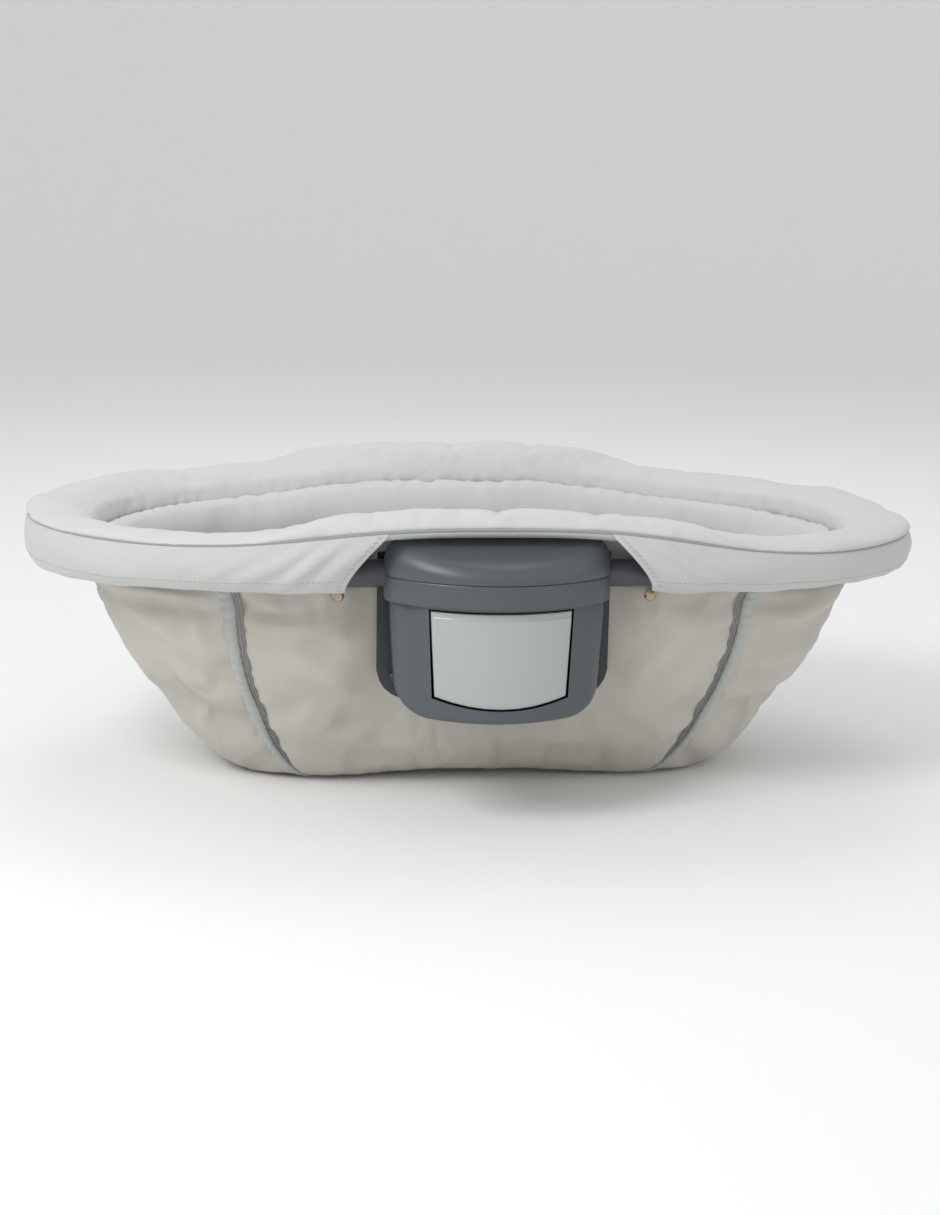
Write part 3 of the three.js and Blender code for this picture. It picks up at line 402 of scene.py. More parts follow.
sling_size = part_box("sling_shell")[1]
SLING_ROWS = 72
SLING_COLUMNS = 420
SLING_THICKNESS = 0.0016
FLOOR_SQUARENESS = 4
SLING_OUTLINE = [
    # share of half length, share of half width, share of height
    (0.0, 0.0, 0.0), (0.27, 0.20, 0.0), (0.50, 0.36, 0.0), (0.575, 0.43, 0.012), (0.642, 0.508, 0.08),
    (0.713, 0.605, 0.213), (0.780, 0.703, 0.379), (0.833, 0.789, 0.517), (0.883, 0.865, 0.667),
    (0.921, 0.919, 0.80), (0.950, 0.957, 0.901), (1.0, 1.0, 1.0),
]
sling_rows = smooth_line(
    [(a * sling_size.x, b * sling_size.y, c * sling_size.z) for a, b, c in SLING_OUTLINE], SLING_ROWS)
plate_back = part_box("hub_back_plate_right")[0].y
HUB_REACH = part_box("hub_back_plate_right")[1].x
HUB_ROOM = 0.006
HUB_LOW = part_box("hub_back_plate_right")[0].z
SEAM_TURN = bend_lengths[round(BEND_STEPS * 66.2 / 90)] / RIM_LENGTH
SEAM_TURNS = (SEAM_TURN, 0.5 - SEAM_TURN, 0.5 + SEAM_TURN, 1 - SEAM_TURN)
SEAM_TUCK = 0.0035


def squareness_at(height):
    return FLOOR_SQUARENESS + (RIM_SQUARENESS - FLOOR_SQUARENESS) * min(1, max(0, height / RIM_HEIGHT))


def sling_spot(turn, row):
    """A spot on the hanging sling and its outward direction, drawn in behind each hub."""
    low = sling_rows[min(int(row), SLING_ROWS - 1)]
    size = low.lerp(sling_rows[min(int(row) + 1, SLING_ROWS - 1)], row - int(row))
    spot, out = oval(turn, size.x, size.y, squareness_at(size.z))
    behind = plate_back - HUB_ROOM
    tucked = smooth_step(HUB_REACH + 0.045 - abs(spot.x), 0, 0.042)
    tucked *= smooth_step(size.z, HUB_LOW - 0.035, HUB_LOW)
    if abs(spot.y) > behind:
        spot.y += (math.copysign(behind, spot.y) - spot.y) * tucked
    return Vector((spot.x, spot.y, size.z)), out


def seam_gap(turn):
    """How far round the rim the nearest corner seam is, in metres."""
    return min(abs((turn - seam + 0.5) % 1 - 0.5) for seam in SEAM_TURNS) * RIM_LENGTH


shape = spun_ring([(float(row), 0) for row in range(SLING_ROWS)], SLING_COLUMNS, closed=False)
turn_mark = shape.verts.layers.float.new("turn")
row_mark = shape.verts.layers.float.new("row")
for vertex in shape.verts:
    vertex[turn_mark], vertex[row_mark] = turn_of(vertex.co), outward_of(vertex.co)
    vertex.co = sling_spot(vertex[turn_mark], vertex[row_mark])[0]
bmesh.ops.remove_doubles(shape, verts=shape.verts, dist=1e-5)
bmesh.ops.recalc_face_normals(shape, faces=shape.faces)
if min(shape.faces, key=lambda face: face.calc_center_median().z).normal.z > 0:
    bmesh.ops.reverse_faces(shape, faces=shape.faces)
sling_turns = [vertex[turn_mark] for vertex in shape.verts]
sling_places = [vertex[row_mark] for vertex in shape.verts]
sling = add_piece(shape, "sling", sling_finish)
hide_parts("sling_shell")


def puff(piece, held, pressure, growth, cap, frames=20, stiffness=12, bending=0.3):
    """Lets a piece swell as cloth that grows a little between its held points, then keeps the result."""
    group = piece.vertex_groups.new(name="held")
    for index, weight in enumerate(held):
        if weight:
            group.add([index], weight, "REPLACE")
    before = [vertex.co.copy() for vertex in piece.data.vertices]
    modifier = piece.modifiers.new("cloth", "CLOTH")
    settings = modifier.settings
    settings.quality = 5
    settings.mass = 0.15
    settings.tension_stiffness = stiffness
    settings.compression_stiffness = stiffness
    settings.shear_stiffness = stiffness / 2
    settings.bending_stiffness = bending
    settings.use_pressure = True
    settings.uniform_pressure_force = pressure
    settings.shrink_min = -growth
    settings.shrink_max = -growth
    settings.vertex_group_mass = "held"
    settings.effector_weights.gravity = 0
    modifier.point_cache.frame_start = 1
    modifier.point_cache.frame_end = frames
    for step in range(1, frames + 1):
        scene.frame_set(step)
    settled = piece.evaluated_get(bpy.context.evaluated_depsgraph_get()).data
    after = [vertex.co.copy() for vertex in settled.vertices]
    piece.modifiers.remove(modifier)
    piece.vertex_groups.clear()
    scene.frame_set(1)
    for vertex, old, new in zip(piece.data.vertices, before, after):
        move = new - old
        if move.length > cap:
            move *= cap / move.length
        vertex.co = old + move


def push(piece, amount):
    """Moves each vertex along its own normal by the amount for it."""
    normals = [vertex.normal.copy() for vertex in piece.data.vertices]
    for vertex, normal in zip(piece.data.vertices, normals):
        vertex.co += normal * amount(vertex)


def finish_mesh(piece, thickness=0.0, offset=-1.0, levels=1):
    """Gives a piece its thickness and one round of smoothing."""
    if thickness:
        solid = piece.modifiers.new("thickness", "SOLIDIFY")
        solid.thickness = thickness
        solid.offset = offset
    if levels:
        soften = piece.modifiers.new("soften", "SUBSURF")
        soften.levels = levels
        soften.render_levels = levels


FOLD_STRENGTH = 1.6
# Standing folds in the cloth: start x and z, end x and z, width, height; from the hem down.
SLING_FOLDS = [
    (-0.295, 0.172, -0.215, 0.176, 0.010, 0.0040), (-0.285, 0.150, -0.222, 0.120, 0.011, 0.0045),
    (-0.240, 0.165, -0.218, 0.125, 0.008, 0.0030), (-0.262, 0.112, -0.205, 0.080, 0.010, 0.0030),
    (-0.190, 0.180, -0.150, 0.160, 0.007, 0.0030), (-0.185, 0.160, -0.115, 0.135, 0.012, 0.0030),
    (-0.170, 0.120, -0.100, 0.085, 0.014, 0.0025), (-0.125, 0.060, -0.095, 0.120, 0.008, 0.0022),
    (-0.150, 0.050, -0.060, 0.030, 0.010, 0.0025), (0.120, 0.060, 0.205, 0.130, 0.009, 0.0022),
    (0.130, 0.030, 0.175, 0.052, 0.008, 0.0024), (0.105, 0.100, 0.180, 0.160, 0.013, 0.0020),
    (0.225, 0.150, 0.300, 0.172, 0.011, 0.0050), (0.215, 0.105, 0.285, 0.135, 0.010, 0.0050),
    (0.200, 0.075, 0.255, 0.095, 0.010, 0.0035), (0.010, 0.045, 0.110, 0.035, 0.012, 0.0020),
]


def fold_height(x, z, folds):
    """Height of the standing folds at a spot on the side of the seat."""
    total = 0.0
    for x0, z0, x1, z1, width, height in folds:
        run = Vector((x1 - x0, z1 - z0))
        offset = Vector((x - x0, z - z0))
        share = offset.dot(run) / run.length_squared
        aside = (offset.x * run.y - offset.y * run.x) / run.length
        bend = aside + 0.006 * math.sin(3 * share + 40 * x0)
        fade = smooth_step(share, -0.25, 0.3) * smooth_step(1.25 - share, 0, 0.55)
        ridge = math.exp(-((bend / width) ** 2)) - 0.7 * math.exp(-((bend / width - 1.1) ** 2))
        total += FOLD_STRENGTH * height * fade * ridge
    return total


def sling_fold(vertex):
    turn, row = sling_turns[vertex.index], sling_places[vertex.index]
    wall = smooth_step(vertex.co.z, 0.004, 0.03) * (1 - smooth_step(row, SLING_ROWS - 4, SLING_ROWS - 1))
    tuck = math.exp(-((seam_gap(turn) / 0.010) ** 2))
    free = smooth_step(abs(vertex.co.x), 0.10, 0.125) + smooth_step(HUB_LOW - 0.012 - vertex.co.z, 0, 0.02)
    x = vertex.co.x if vertex.co.y < 0 else -vertex.co.x
    broad = noise.noise(vertex.co * 11 + Vector((3, 0, 0))) * 0.004
    fine = noise.fractal(Vector((x * 30, vertex.co.y * 30, vertex.co.z * 55)), 1.0, 2.0, 2) * 0.0011
    cloth = (fold_height(x, vertex.co.z, SLING_FOLDS) + broad + fine) * min(1, free) * (1 - tuck)
    return (cloth - SEAM_TUCK * tuck) * wall


sling_held = [
    1.0 if row > SLING_ROWS - 2.5 or sling_rows[int(row + 0.5)].z < 0.002 or seam_gap(turn) < 0.004
    or (abs(vertex.co.x) < HUB_REACH and vertex.co.z > HUB_LOW - 0.01) else 0.0
    for turn, row, vertex in zip(sling_turns, sling_places, sling.data.vertices)]
puff(sling, sling_held, pressure=1.2, growth=0.03, cap=0.008, bending=0.15)
push(sling, sling_fold)
LIFT = 0.006
for vertex in sling.data.vertices:
    edge = smooth_step(abs(vertex.co.y), 0.03, 0.085) * (1 - smooth_step(vertex.co.z, 0.01, 0.05))
    vertex.co.z = max(vertex.co.z, 0.0) + LIFT * edge * math.exp(-(((abs(vertex.co.x) - 0.02) / 0.08) ** 2))
finish_mesh(sling, thickness=SLING_THICKNESS, levels=0)


def warped_grid(columns, rows, place, weld=False):
    """A sheet of even cells, each corner put where the place says for its two shares."""
    shape = bmesh.new()
    bmesh.ops.create_grid(shape, x_segments=columns, y_segments=rows, size=0.5)
    for vertex in shape.verts:
        vertex.co = place(vertex.co.x + 0.5, vertex.co.y + 0.5)
    if weld:
        bmesh.ops.remove_doubles(shape, verts=shape.verts, dist=1e-6)
        bmesh.ops.holes_fill(shape, edges=[edge for edge in shape.edges if edge.is_boundary])
    bmesh.ops.recalc_face_normals(shape, faces=shape.faces)
    shape.verts.index_update()
    return shape


def along(path, share):
    """The spot and the heading at a share of the way along a path."""
    at = min(int(share * (len(path) - 1)), len(path) - 2)
    spot = path[at].lerp(path[at + 1], share * (len(path) - 1) - at)
    return spot, (path[min(at + 2, len(path) - 1)] - path[max(at - 1, 0)]).normalized()


def beaded(path, radius, sides=8, columns=None):
    """A thin round cord along a path."""
    def place(share, round_share):
        spot, ahead = along(path, share)
        aside = ahead.cross(Vector((0, 0, 1))).normalized()
        over = aside.cross(ahead)
        angle = 2 * math.pi * round_share
        return spot + (aside * math.cos(angle) + over * math.sin(angle)) * radius
    return warped_grid(columns or len(path), sides, place, weld=True)


rib_finish = fabric_finish("sling_rib", (0.50, 0.51, 0.49), (0.45, 0.46, 0.44))
edge_finish = fabric_finish("seam_cord", (0.30, 0.295, 0.30), (0.24, 0.235, 0.24))
RIB_HALF_WIDTH = 0.0078
RIB_HEIGHT = 0.0052
RIB_GATHER = 0.0075
CORD_RADIUS = 0.0007
RIB_BOTTOM_ROW = 17.0
RIB_TOP_ROW = SLING_ROWS - 2.0
SEAM_NAMES = ("head_right", "foot_right", "foot_left", "head_left")
for number, (turn, name) in enumerate(zip(SEAM_TURNS, SEAM_NAMES)):
    hubward = 1 if number in (0, 2) else -1
    cord_rows = [RIB_BOTTOM_ROW + (RIB_TOP_ROW - RIB_BOTTOM_ROW) * i / 80 for i in range(81)]

    def rib_place(share, across, turn=turn, number=number):
        row = RIB_BOTTOM_ROW + (RIB_TOP_ROW - RIB_BOTTOM_ROW) * share
        run = share * 0.25
        fold = noise.noise((run * 60, number * 7.0, 0)) * 0.5
        gather = 0.5 + 0.5 * math.cos(2 * math.pi * (run / RIB_GATHER + fold))
        width = RIB_HALF_WIDTH * (0.86 + 0.12 * gather + 0.18 * noise.noise((run * 30, number, 5)))
        angle = math.pi * (across * 2 - 1)
        aside = width * math.cos(angle) - hubward * 0.008
        height = math.sin(angle)
        spot, out = sling_spot(turn + aside / RIM_LENGTH, row)
        swell = RIB_HEIGHT * (0.72 + 0.28 * gather * abs(math.cos(angle / 2 + 1.57)))
        lift = swell * height if height > 0 else 0.0012 * height
        return spot + Vector((out.x, out.y, -0.35)) * (lift - SEAM_TUCK * 0.5)

    shape = warped_grid(170, 14, rib_place, weld=True)
    rib = add_piece(shape, "sling_rib_" + name, rib_finish)
    finish_mesh(rib)
    for cord, aside in (("inner", 0.0022), ("outer", 0.0052)):
        path = []
        for row in cord_rows:
            wobble = 0.0007 * noise.noise((row * 0.9, number * 3.0, aside * 900))
            spot, out = sling_spot(turn + hubward * (aside + wobble) / RIM_LENGTH, row)
            path.append(spot + Vector((out.x, out.y, -0.35)) * (0.0012 - SEAM_TUCK * 0.55))
        shape = beaded(path, CORD_RADIUS, 8, 160)
        add_piece(shape, f"seam_cord_{cord}_{name}", edge_finish)


# ------------------------------------------------------------------ base board
# A thin stiff sheet of fibreboard that keeps the bottom of the sling flat, loose between sling and
# lining, which hide it.

board_finish = Finish("board", (0.16, 0.158, 0.15), 0.7)
board_finish.tint(board_finish.cloud(240, 4), (0.22, 0.215, 0.2))
board_finish.relief(board_finish.cloud(800, 3), 0.0003, 0.5)
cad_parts["base_board"].data.materials[0] = board_finish.material

# ------------------------------------------------------------------ padded roll
# A light grey cover filled with wadding that lies over the tube all the way round. It ends outside
# in the corded seam that carries the skirt and inside in a gathered seam that joins the lining.

roll_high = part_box("rim_bolster")[1]
SEAM_OUT = (0.0275, 0.0215)
SEAM_IN = (-0.0275, -0.006)
ROLL_TOP = 0.0315
ROLL_RISE = roll_high.z - RIM_HEIGHT - ROLL_TOP + 0.002
ROLL_RISE_SPAN = 0.17
HEAD_SAG = 0.008
PUCKER_PITCH = 0.014
PUCKER_DEPTH = 0.0034
PUCKER_REACH = 0.013


def rise(x, outward=0.0):
    """How far the soft rim climbs over the hubs, and how its outer edge sags towards the head end."""
    lift = ROLL_RISE * math.exp(-((abs(x) / ROLL_RISE_SPAN) ** 3))
    return lift - HEAD_SAG * smooth_step(x, 0.08, 0.3) * smooth_step(outward, -0.03, 0.03)


roll_finish = fabric_finish("roll_fabric", (0.585, 0.595, 0.59), (0.63, 0.64, 0.635))

# From the outer seam over the top, down to the gathered seam, and back over the tube.
ROLL_SECTION = [
    SEAM_OUT, (0.0266, 0.0254), (0.0230, 0.0290), (0.0178, 0.0307), (0.0120, 0.0315), (0.0060, 0.0315),
    (0.0000, 0.0310), (-0.0060, 0.0300), (-0.0120, 0.0282), (-0.0175, 0.0253), (-0.0222, 0.0210),
    (-0.0258, 0.0156), (-0.0282, 0.0098), (-0.0295, 0.0038), (-0.0290, -0.0018), SEAM_IN,
    (-0.0225, -0.0085), (-0.0165, -0.0080), (-0.0137, -0.0030), (-0.0135, 0.0040), (-0.0108, 0.0100),
    (-0.0050, 0.0132), (0.0020, 0.0137), (0.0090, 0.0128), (0.0150, 0.0125), (0.0215, 0.0165),
]
shape = spun_ring(ROLL_SECTION, 400)
roll_turns, roll_depths, roll_edges, roll_held = [], [], [], []
for vertex in shape.verts:
    outward, up = outward_of(vertex.co), vertex.co.z
    hidden = up < 0.0168 and -0.0262 < outward < 0.022
    roll_turns.append(turn_of(vertex.co))
    roll_depths.append(9.0 if hidden else math.hypot(outward - SEAM_IN[0], up - SEAM_IN[1]))
    roll_edges.append(math.hypot(outward - SEAM_OUT[0], up - SEAM_OUT[1]))
    roll_held.append(1.0 if hidden or min(roll_depths[-1], roll_edges[-1]) < 0.001 else 0.0)
bend_to_rim(shape, rise)
roll = add_piece(shape, "padded_roll", roll_finish)
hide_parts("rim_bolster")


def gathers(turn, pitch, seed):
    """Uneven little folds across a gathered seam, from 0 to 1."""
    run = turn * RIM_LENGTH
    bend = noise.noise((run * 9, seed, 0)) * 1.4
    wave = 0.5 + 0.5 * math.cos(2 * math.pi * (run / pitch + bend))
    return wave * min(1, 0.25 + 1.6 * abs(noise.noise((run * 13, seed + 3, 1))))


def roll_fold(vertex):
    turn, depth = roll_turns[vertex.index], roll_depths[vertex.index]
    if depth > 1:
        return 0.0
    fold = gathers(turn, PUCKER_PITCH, 1) * math.exp(-depth / PUCKER_REACH)
    broad = noise.fractal(vertex.co * 13, 1.0, 2.0, 2) * 0.0022
    slack = gathers(turn, 0.055, 9) * 0.0016 * math.exp(-roll_edges[vertex.index] / 0.02)
    held = smooth_step(min(depth, roll_edges[vertex.index]), 0, 0.008)
    return (broad - slack) * held - PUCKER_DEPTH * fold


puff(roll, roll_held, pressure=5, growth=0.035, cap=0.005)
push(roll, roll_fold)
finish_mesh(roll)

# The outer and gathered seam cords are real, but their dark grey is painted shadow: it stands for the shaded
# crease along both seams.
seam_cord_shadow_finish = fabric_finish("piping_painted_shadow", (0.36, 0.365, 0.37), (0.30, 0.305, 0.31))
for name, (outward, up), radius in (("outer", SEAM_OUT, 0.0011), ("gathered", SEAM_IN, 0.0010)):
    shape = spun_ring(circle_section(radius, 8, outward * 1.012, up - 0.0002), 400)
    bend_to_rim(shape, rise)
    add_piece(shape, f"roll_{name}_seam", seam_cord_shadow_finish)

# ------------------------------------------------------------------ skirt
# Below the corded seam a plain strip of the same cloth hangs over the tube to a narrow hem, coloured darker
# than the roll as painted shade.
# It is cut away round each hub in slanted flaps, with two rows of stitching along every flap.

SKIRT_SECTION = [(0.0278, 0.0208), (0.0300, 0.0160), (0.0318, 0.0085), (0.0318, 0.0005), (0.0300, -0.0060),
                 (0.0272, -0.0105), (0.0258, -0.0122), (0.0236, -0.0118)]
FLAP_TOP = 0.086
FLAP_BOTTOM = 0.119
# The skirt uses the roll's cloth, coloured and mottled darker than the roll as painted shade under the seam.
skirt_shaded_finish = fabric_finish("skirt_fabric_painted_shade", (0.57, 0.58, 0.565), (0.53, 0.54, 0.525))
skirt_line = smooth_line([(outward, up) for outward, up in SKIRT_SECTION], 33)


def skirt_spot(end, way, drop, proud=0.0):
    """A spot on a skirt: way runs from 0 to 1 round its end of the seat, drop from the seam to the hem."""
    start = (FLAP_TOP + (FLAP_BOTTOM - FLAP_TOP) * smooth_step(drop, 0, 0.9) ** 0.8) / RIM_LENGTH
    turn = (0.75 if end > 0 else 0.25) + start + (0.5 - 2 * start) * way
    spot, out = oval(turn, RIM_HALF_LENGTH, RIM_HALF_WIDTH)
    section = skirt_line[min(int(drop * 32), 31)].lerp(skirt_line[min(int(drop * 32) + 1, 32)], drop * 32 % 1)
    from_flap = min(way, 1 - way) * (0.5 - 2 * start) * RIM_LENGTH
    wander = 0.3 * noise.noise((turn * 40, 0, 2))
    slant = 0.5 + 0.5 * math.cos(2 * math.pi * (from_flap / 0.030 - drop * 0.75 + wander))
    near_flap = math.exp(-abs(from_flap - 0.045) / 0.040)
    folds = 0.0034 * slant * near_flap * math.sin(math.pi * min(1, drop * 1.05))
    soft = 0.0030 * noise.noise((spot.x * 16, spot.y * 16, drop * 1.4)) * math.sin(math.pi * min(1, drop))
    outward = section.x + folds + soft + proud - 0.004 * math.exp(-from_flap / 0.02) * drop
    hem_wave = 0.0022 * noise.noise((turn * 55, end * 3.0, 0)) * smooth_step(drop, 0.4, 1)
    climb = rise(spot.x, outward) * (1 - smooth_step(drop, 0.15, 1) * 0.85)
    end_drop = 0.004 * smooth_step(-spot.x, 0.24, 0.34) * drop
    return Vector((spot.x + out.x * outward, spot.y + out.y * outward,
                   RIM_HEIGHT + section.y + climb + hem_wave - end_drop))


def stitch_row(spots, name, pitch=0.0042):
    """A row of short thread dashes along some spots, all one piece."""
    shape = bmesh.new()
    path = smooth_line(spots, max(3, int(sum((b - a).length for a, b in zip(spots, spots[1:])) / pitch)))
    for i in range(len(path) - 1):
        ahead = path[i + 1] - path[i]
        middle = (path[i] + path[i + 1]) / 2
        turned = ahead.to_track_quat("X", "Z").to_matrix().to_4x4()
        size = Matrix.Diagonal((ahead.length * 0.36, 0.00035, 0.00035, 1))
        bmesh.ops.create_icosphere(
            shape, subdivisions=1, radius=1, matrix=Matrix.Translation(middle) @ turned @ size)
    return add_piece(shape, name, thread_finish)


thread_finish = Finish("thread", (0.42, 0.42, 0.42), 0.7, sheen_weight=0.2)
thread_finish.relief(thread_finish.threads(0.0004), 0.0001, 0.5)
for name, end in (("head", 1), ("foot", -1)):
    shape = warped_grid(300, 16, lambda way, drop, end=end: skirt_spot(end, way, drop))
    skirt = add_piece(shape, "skirt_" + name, skirt_shaded_finish)
    finish_mesh(skirt, thickness=0.0014, offset=0.0)
    for edge, flip in (("first", False), ("last", True)):
        for count, gap in (("one", 0.0060), ("two", 0.0085)):
            spots = []
            for step in range(14):
                drop = 0.03 + 0.93 * step / 13
                way = gap / (0.5 * RIM_LENGTH) * 1.05
                spots.append(skirt_spot(end, 1 - way if flip else way, drop, 0.0009))
            stitch_row(spots, f"flap_stitches_{name}_{edge}_{count}")
    spots = [skirt_spot(end, 0.012 + 0.976 * step / 160, 0.72, 0.0008) for step in range(161)]
    stitch_row(spots, f"hem_stitches_{name}")

# Facings under the corded seam over each hub, in the skirt cloth with its painted shade.
for name, sign in (("left", -1), ("right", 1)):
    def facing_place(share, drop, sign=sign):
        x = (share * 2 - 1) * 0.094
        outward = 0.0272 - 0.0030 * drop
        height = RIM_HEIGHT + SEAM_OUT[1] + rise(x, outward) - 0.0010 - 0.0042 * drop
        return Vector((x, sign * (RIM_HALF_WIDTH + outward + 0.0012 * math.sin(math.pi * drop)), height))
    shape = warped_grid(60, 4, facing_place)
    facing = add_piece(shape, "hub_facing_" + name, skirt_shaded_finish)
    finish_mesh(facing, thickness=0.0012, offset=0.0)

# ------------------------------------------------------------------ seat lining
# A puffy lining in the same light grey, sewn to the roll's gathered seam and hanging inside the sling
# down to a soft floor. It is thin wadding between two layers of cloth.

LINER_THICKNESS = 0.007
liner_finish = fabric_finish("liner_fabric", (0.58, 0.59, 0.585), (0.62, 0.63, 0.625))
LINER_EDGE = [
    (-0.0275, -0.006), (-0.0315, -0.0020), (-0.0370, 0.0004), (-0.0430, -0.0010), (-0.0480, -0.0060)]
LINER_WALL = [
    # half length, half width and height under the rolled edge, all the way in to the middle of the floor
    (0.298, 0.143, 0.180), (0.291, 0.144, 0.162), (0.279, 0.138, 0.135), (0.262, 0.126, 0.103),
    (0.243, 0.110, 0.073), (0.222, 0.092, 0.044), (0.198, 0.074, 0.025), (0.172, 0.056, 0.0195),
    (0.09, 0.029, 0.019), (0.0, 0.0, 0.019),
]
LINER_ROWS = 54
edge_rows = [Vector((RIM_HALF_LENGTH + o, RIM_HALF_WIDTH + o, RIM_HEIGHT + u)) for o, u in LINER_EDGE]
liner_rows = smooth_line(edge_rows + [Vector(spot) for spot in LINER_WALL], LINER_ROWS)
shape = spun_ring([(float(row), 0) for row in range(LINER_ROWS)], 300, closed=False)
turn_mark = shape.verts.layers.float.new("turn")
row_mark = shape.verts.layers.float.new("row")
for vertex in shape.verts:
    vertex[turn_mark], vertex[row_mark] = turn_of(vertex.co), LINER_ROWS - 1 - outward_of(vertex.co)
    size = liner_rows[round(vertex[row_mark])]
    inward = smooth_step(RIM_HEIGHT - size.z, 0.012, 0.05)
    around, out = oval(vertex[turn_mark], RIM_HALF_LENGTH, RIM_HALF_WIDTH)
    around = around + out * (size.x - RIM_HALF_LENGTH)
    tub, out = oval(vertex[turn_mark], size.x, size.y, squareness_at(size.z))
    spot = around.lerp(tub, inward)
    climb = rise(spot.x, -0.03) * (1 - smooth_step(RIM_HEIGHT - size.z, 0.0, 0.06))
    vertex.co = (spot.x, spot.y, size.z + climb)
bmesh.ops.remove_doubles(shape, verts=shape.verts, dist=1e-5)
bmesh.ops.recalc_face_normals(shape, faces=shape.faces)
if min(shape.faces, key=lambda face: face.calc_center_median().z).normal.z < 0:
    bmesh.ops.reverse_faces(shape, faces=shape.faces)
liner_turns = [vertex[turn_mark] for vertex in shape.verts]
liner_places = [vertex[row_mark] for vertex in shape.verts]
liner = add_piece(shape, "seat_lining", liner_finish)
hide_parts("seat_liner")


def liner_fold(vertex):
    turn, row = liner_turns[vertex.index], liner_places[vertex.index]
    gather = gathers(turn, PUCKER_PITCH * 1.3, 4) * math.exp(-row / 5) * smooth_step(row, 0, 1)
    quilt = 0.5 + 0.5 * math.cos(2 * math.pi * turn * 14 + 0.6)
    wall = smooth_step(row, 3, 10) * (1 - smooth_step(row, 36, 46))
    crease = math.exp(-((quilt / 0.10) ** 2)) * 0.0030 * wall
    broad = noise.fractal(vertex.co * 14, 1.0, 2.0, 2) * 0.0035 * smooth_step(row, 1, 6)
    return broad - crease - 0.0034 * gather


liner_held = [1.0 if row < 0.5 or row > 44 else 0.0 for row in liner_places]
puff(liner, liner_held, pressure=1.5, growth=0.02, cap=0.006)
push(liner, liner_fold)
finish_mesh(liner, thickness=LINER_THICKNESS, levels=0)

# ------------------------------------------------------------------ hub housings
# The grey housing on each side of the rim: a bowed band with a rounded sill, cheeks set in under
# it and a rounded chin. The paddle shows through the opening between the cheeks.

hub_plastic = Finish("hub_plastic", (0.085, 0.096, 0.107), 0.36, specular_ior_level=0.45)
hub_plastic.set("Roughness", hub_plastic.cloud(900, 2) * 0.1 + 0.31)
hub_plastic.relief(hub_plastic.cloud(2200, 2), 0.00005, 0.25)
pale_plastic = Finish("pale_plastic", (0.40, 0.43, 0.415), 0.24, coat_weight=0.3, coat_roughness=0.12)
pale_plastic.set("Roughness", pale_plastic.cloud(700, 2) * 0.06 + 0.2)
dark_plastic = Finish("dark_plastic", (0.035, 0.037, 0.04), 0.45)
dark_plastic.set("Roughness", dark_plastic.cloud(600, 2) * 0.12 + 0.4)

housing_low, housing_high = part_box("hub_housing_right")
cap_low, cap_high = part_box("hub_cap_right")
paddle_low, paddle_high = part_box("release_paddle_right")
RIM_OUT = 0.190
HUB_HALF = housing_high.x
HUB_FRONT = housing_high.y - RIM_OUT
HUB_BACK = -0.014
HUB_SIDE = HUB_FRONT - 0.042
HUB_WALL = 0.0024
CHEEK_INSET = 0.0045
CHEEK_STEP = 0.004
CHEEK_TAPER = 0.006
CHIN_CORNER = 0.024
WINDOW_DEPTH = 0.008
BAND_BOTTOM = paddle_high.z + 0.0036
SIDE_ROUND = 0.008
WINDOW_SHARE = 0.665
HUBS = [("right", 1), ("left", -1)]


def fillet(distance, radius):
    """How far a rounded edge of this radius has fallen away, this far from the edge."""
    if distance >= radius:
        return 0.0
    return radius - math.sqrt(max(radius * radius - (radius - distance) ** 2, 0.0))


def hub_bow(x):
    """The hub's front face at x, outward from the rim's line: one large arc."""
    rise_out = HUB_FRONT - HUB_SIDE
    radius = (HUB_HALF ** 2 + rise_out ** 2) / (2 * rise_out)
    return HUB_FRONT - radius + math.sqrt(radius * radius - x * x)


def hub_world(x, outward, z, way):
    return Vector((x * way, (RIM_OUT + outward) * way, z))


def stated_grid(columns, rows, place, opening=None):
    """A skin through stated columns and rows, with the edges round it and round its opening.

    The place puts each corner. The opening is its first and last column, then first and last row.
    """
    shape = bmesh.new()
    across, down = len(columns) - 1, len(rows) - 1
    bmesh.ops.create_grid(shape, x_segments=across, y_segments=down, size=0.5)
    if opening:
        left, right, top, bottom = opening
        middles = [(face, face.calc_center_median()) for face in shape.faces]
        hole = [
            face for face, middle in middles
            if left < (middle.x + 0.5) * across < right and top < (middle.y + 0.5) * down < bottom]
        bmesh.ops.delete(shape, geom=hole, context="FACES")
    outer, inner = [], []
    for edge in [edge for edge in shape.edges if edge.is_boundary]:
        at_border = all(max(abs(vertex.co.x), abs(vertex.co.y)) > 0.4999 for vertex in edge.verts)
        (outer if at_border else inner).append(edge)
    for vertex in shape.verts:
        column, row = round((vertex.co.x + 0.5) * across), round((vertex.co.y + 0.5) * down)
        vertex.co = place(columns[column], rows[row])
    return shape, outer, inner


def extrude_back(shape, edges, way, depth=None):
    """Extrudes edges straight in from the hub's face, by a depth or as far as its back."""
    for vertex in bmesh.ops.extrude_edge_only(shape, edges=edges)["geom"]:
        if isinstance(vertex, bmesh.types.BMVert):
            outward = vertex.co.y * way - RIM_OUT
            target = HUB_BACK if depth is None else outward - depth
            vertex.co.y = (RIM_OUT + target) * way


def face_outwards(shape, direction):
    """Turns the normals so that the face furthest along the direction looks along it."""
    bmesh.ops.recalc_face_normals(shape, faces=shape.faces)
    furthest = max(shape.faces, key=lambda face: face.calc_center_median().dot(direction))
    if furthest.normal.dot(direction) < 0:
        bmesh.ops.reverse_faces(shape, faces=shape.faces)


def crease(piece, angle=32):
    piece.data.set_sharp_from_angle(angle=math.radians(angle))


# Columns as shares of the half width, closer together towards the side and at the opening's edge.
half_columns = [0, 0.1, 0.2, 0.3, 0.4, 0.5, 0.6, 0.645, 0.665, 0.685, 0.72, 0.78, 0.84, 0.89, 0.92, 0.945,
                0.965, 0.98, 0.991, 0.997, 1.0]
hub_columns = [-share for share in reversed(half_columns[1:])] + half_columns
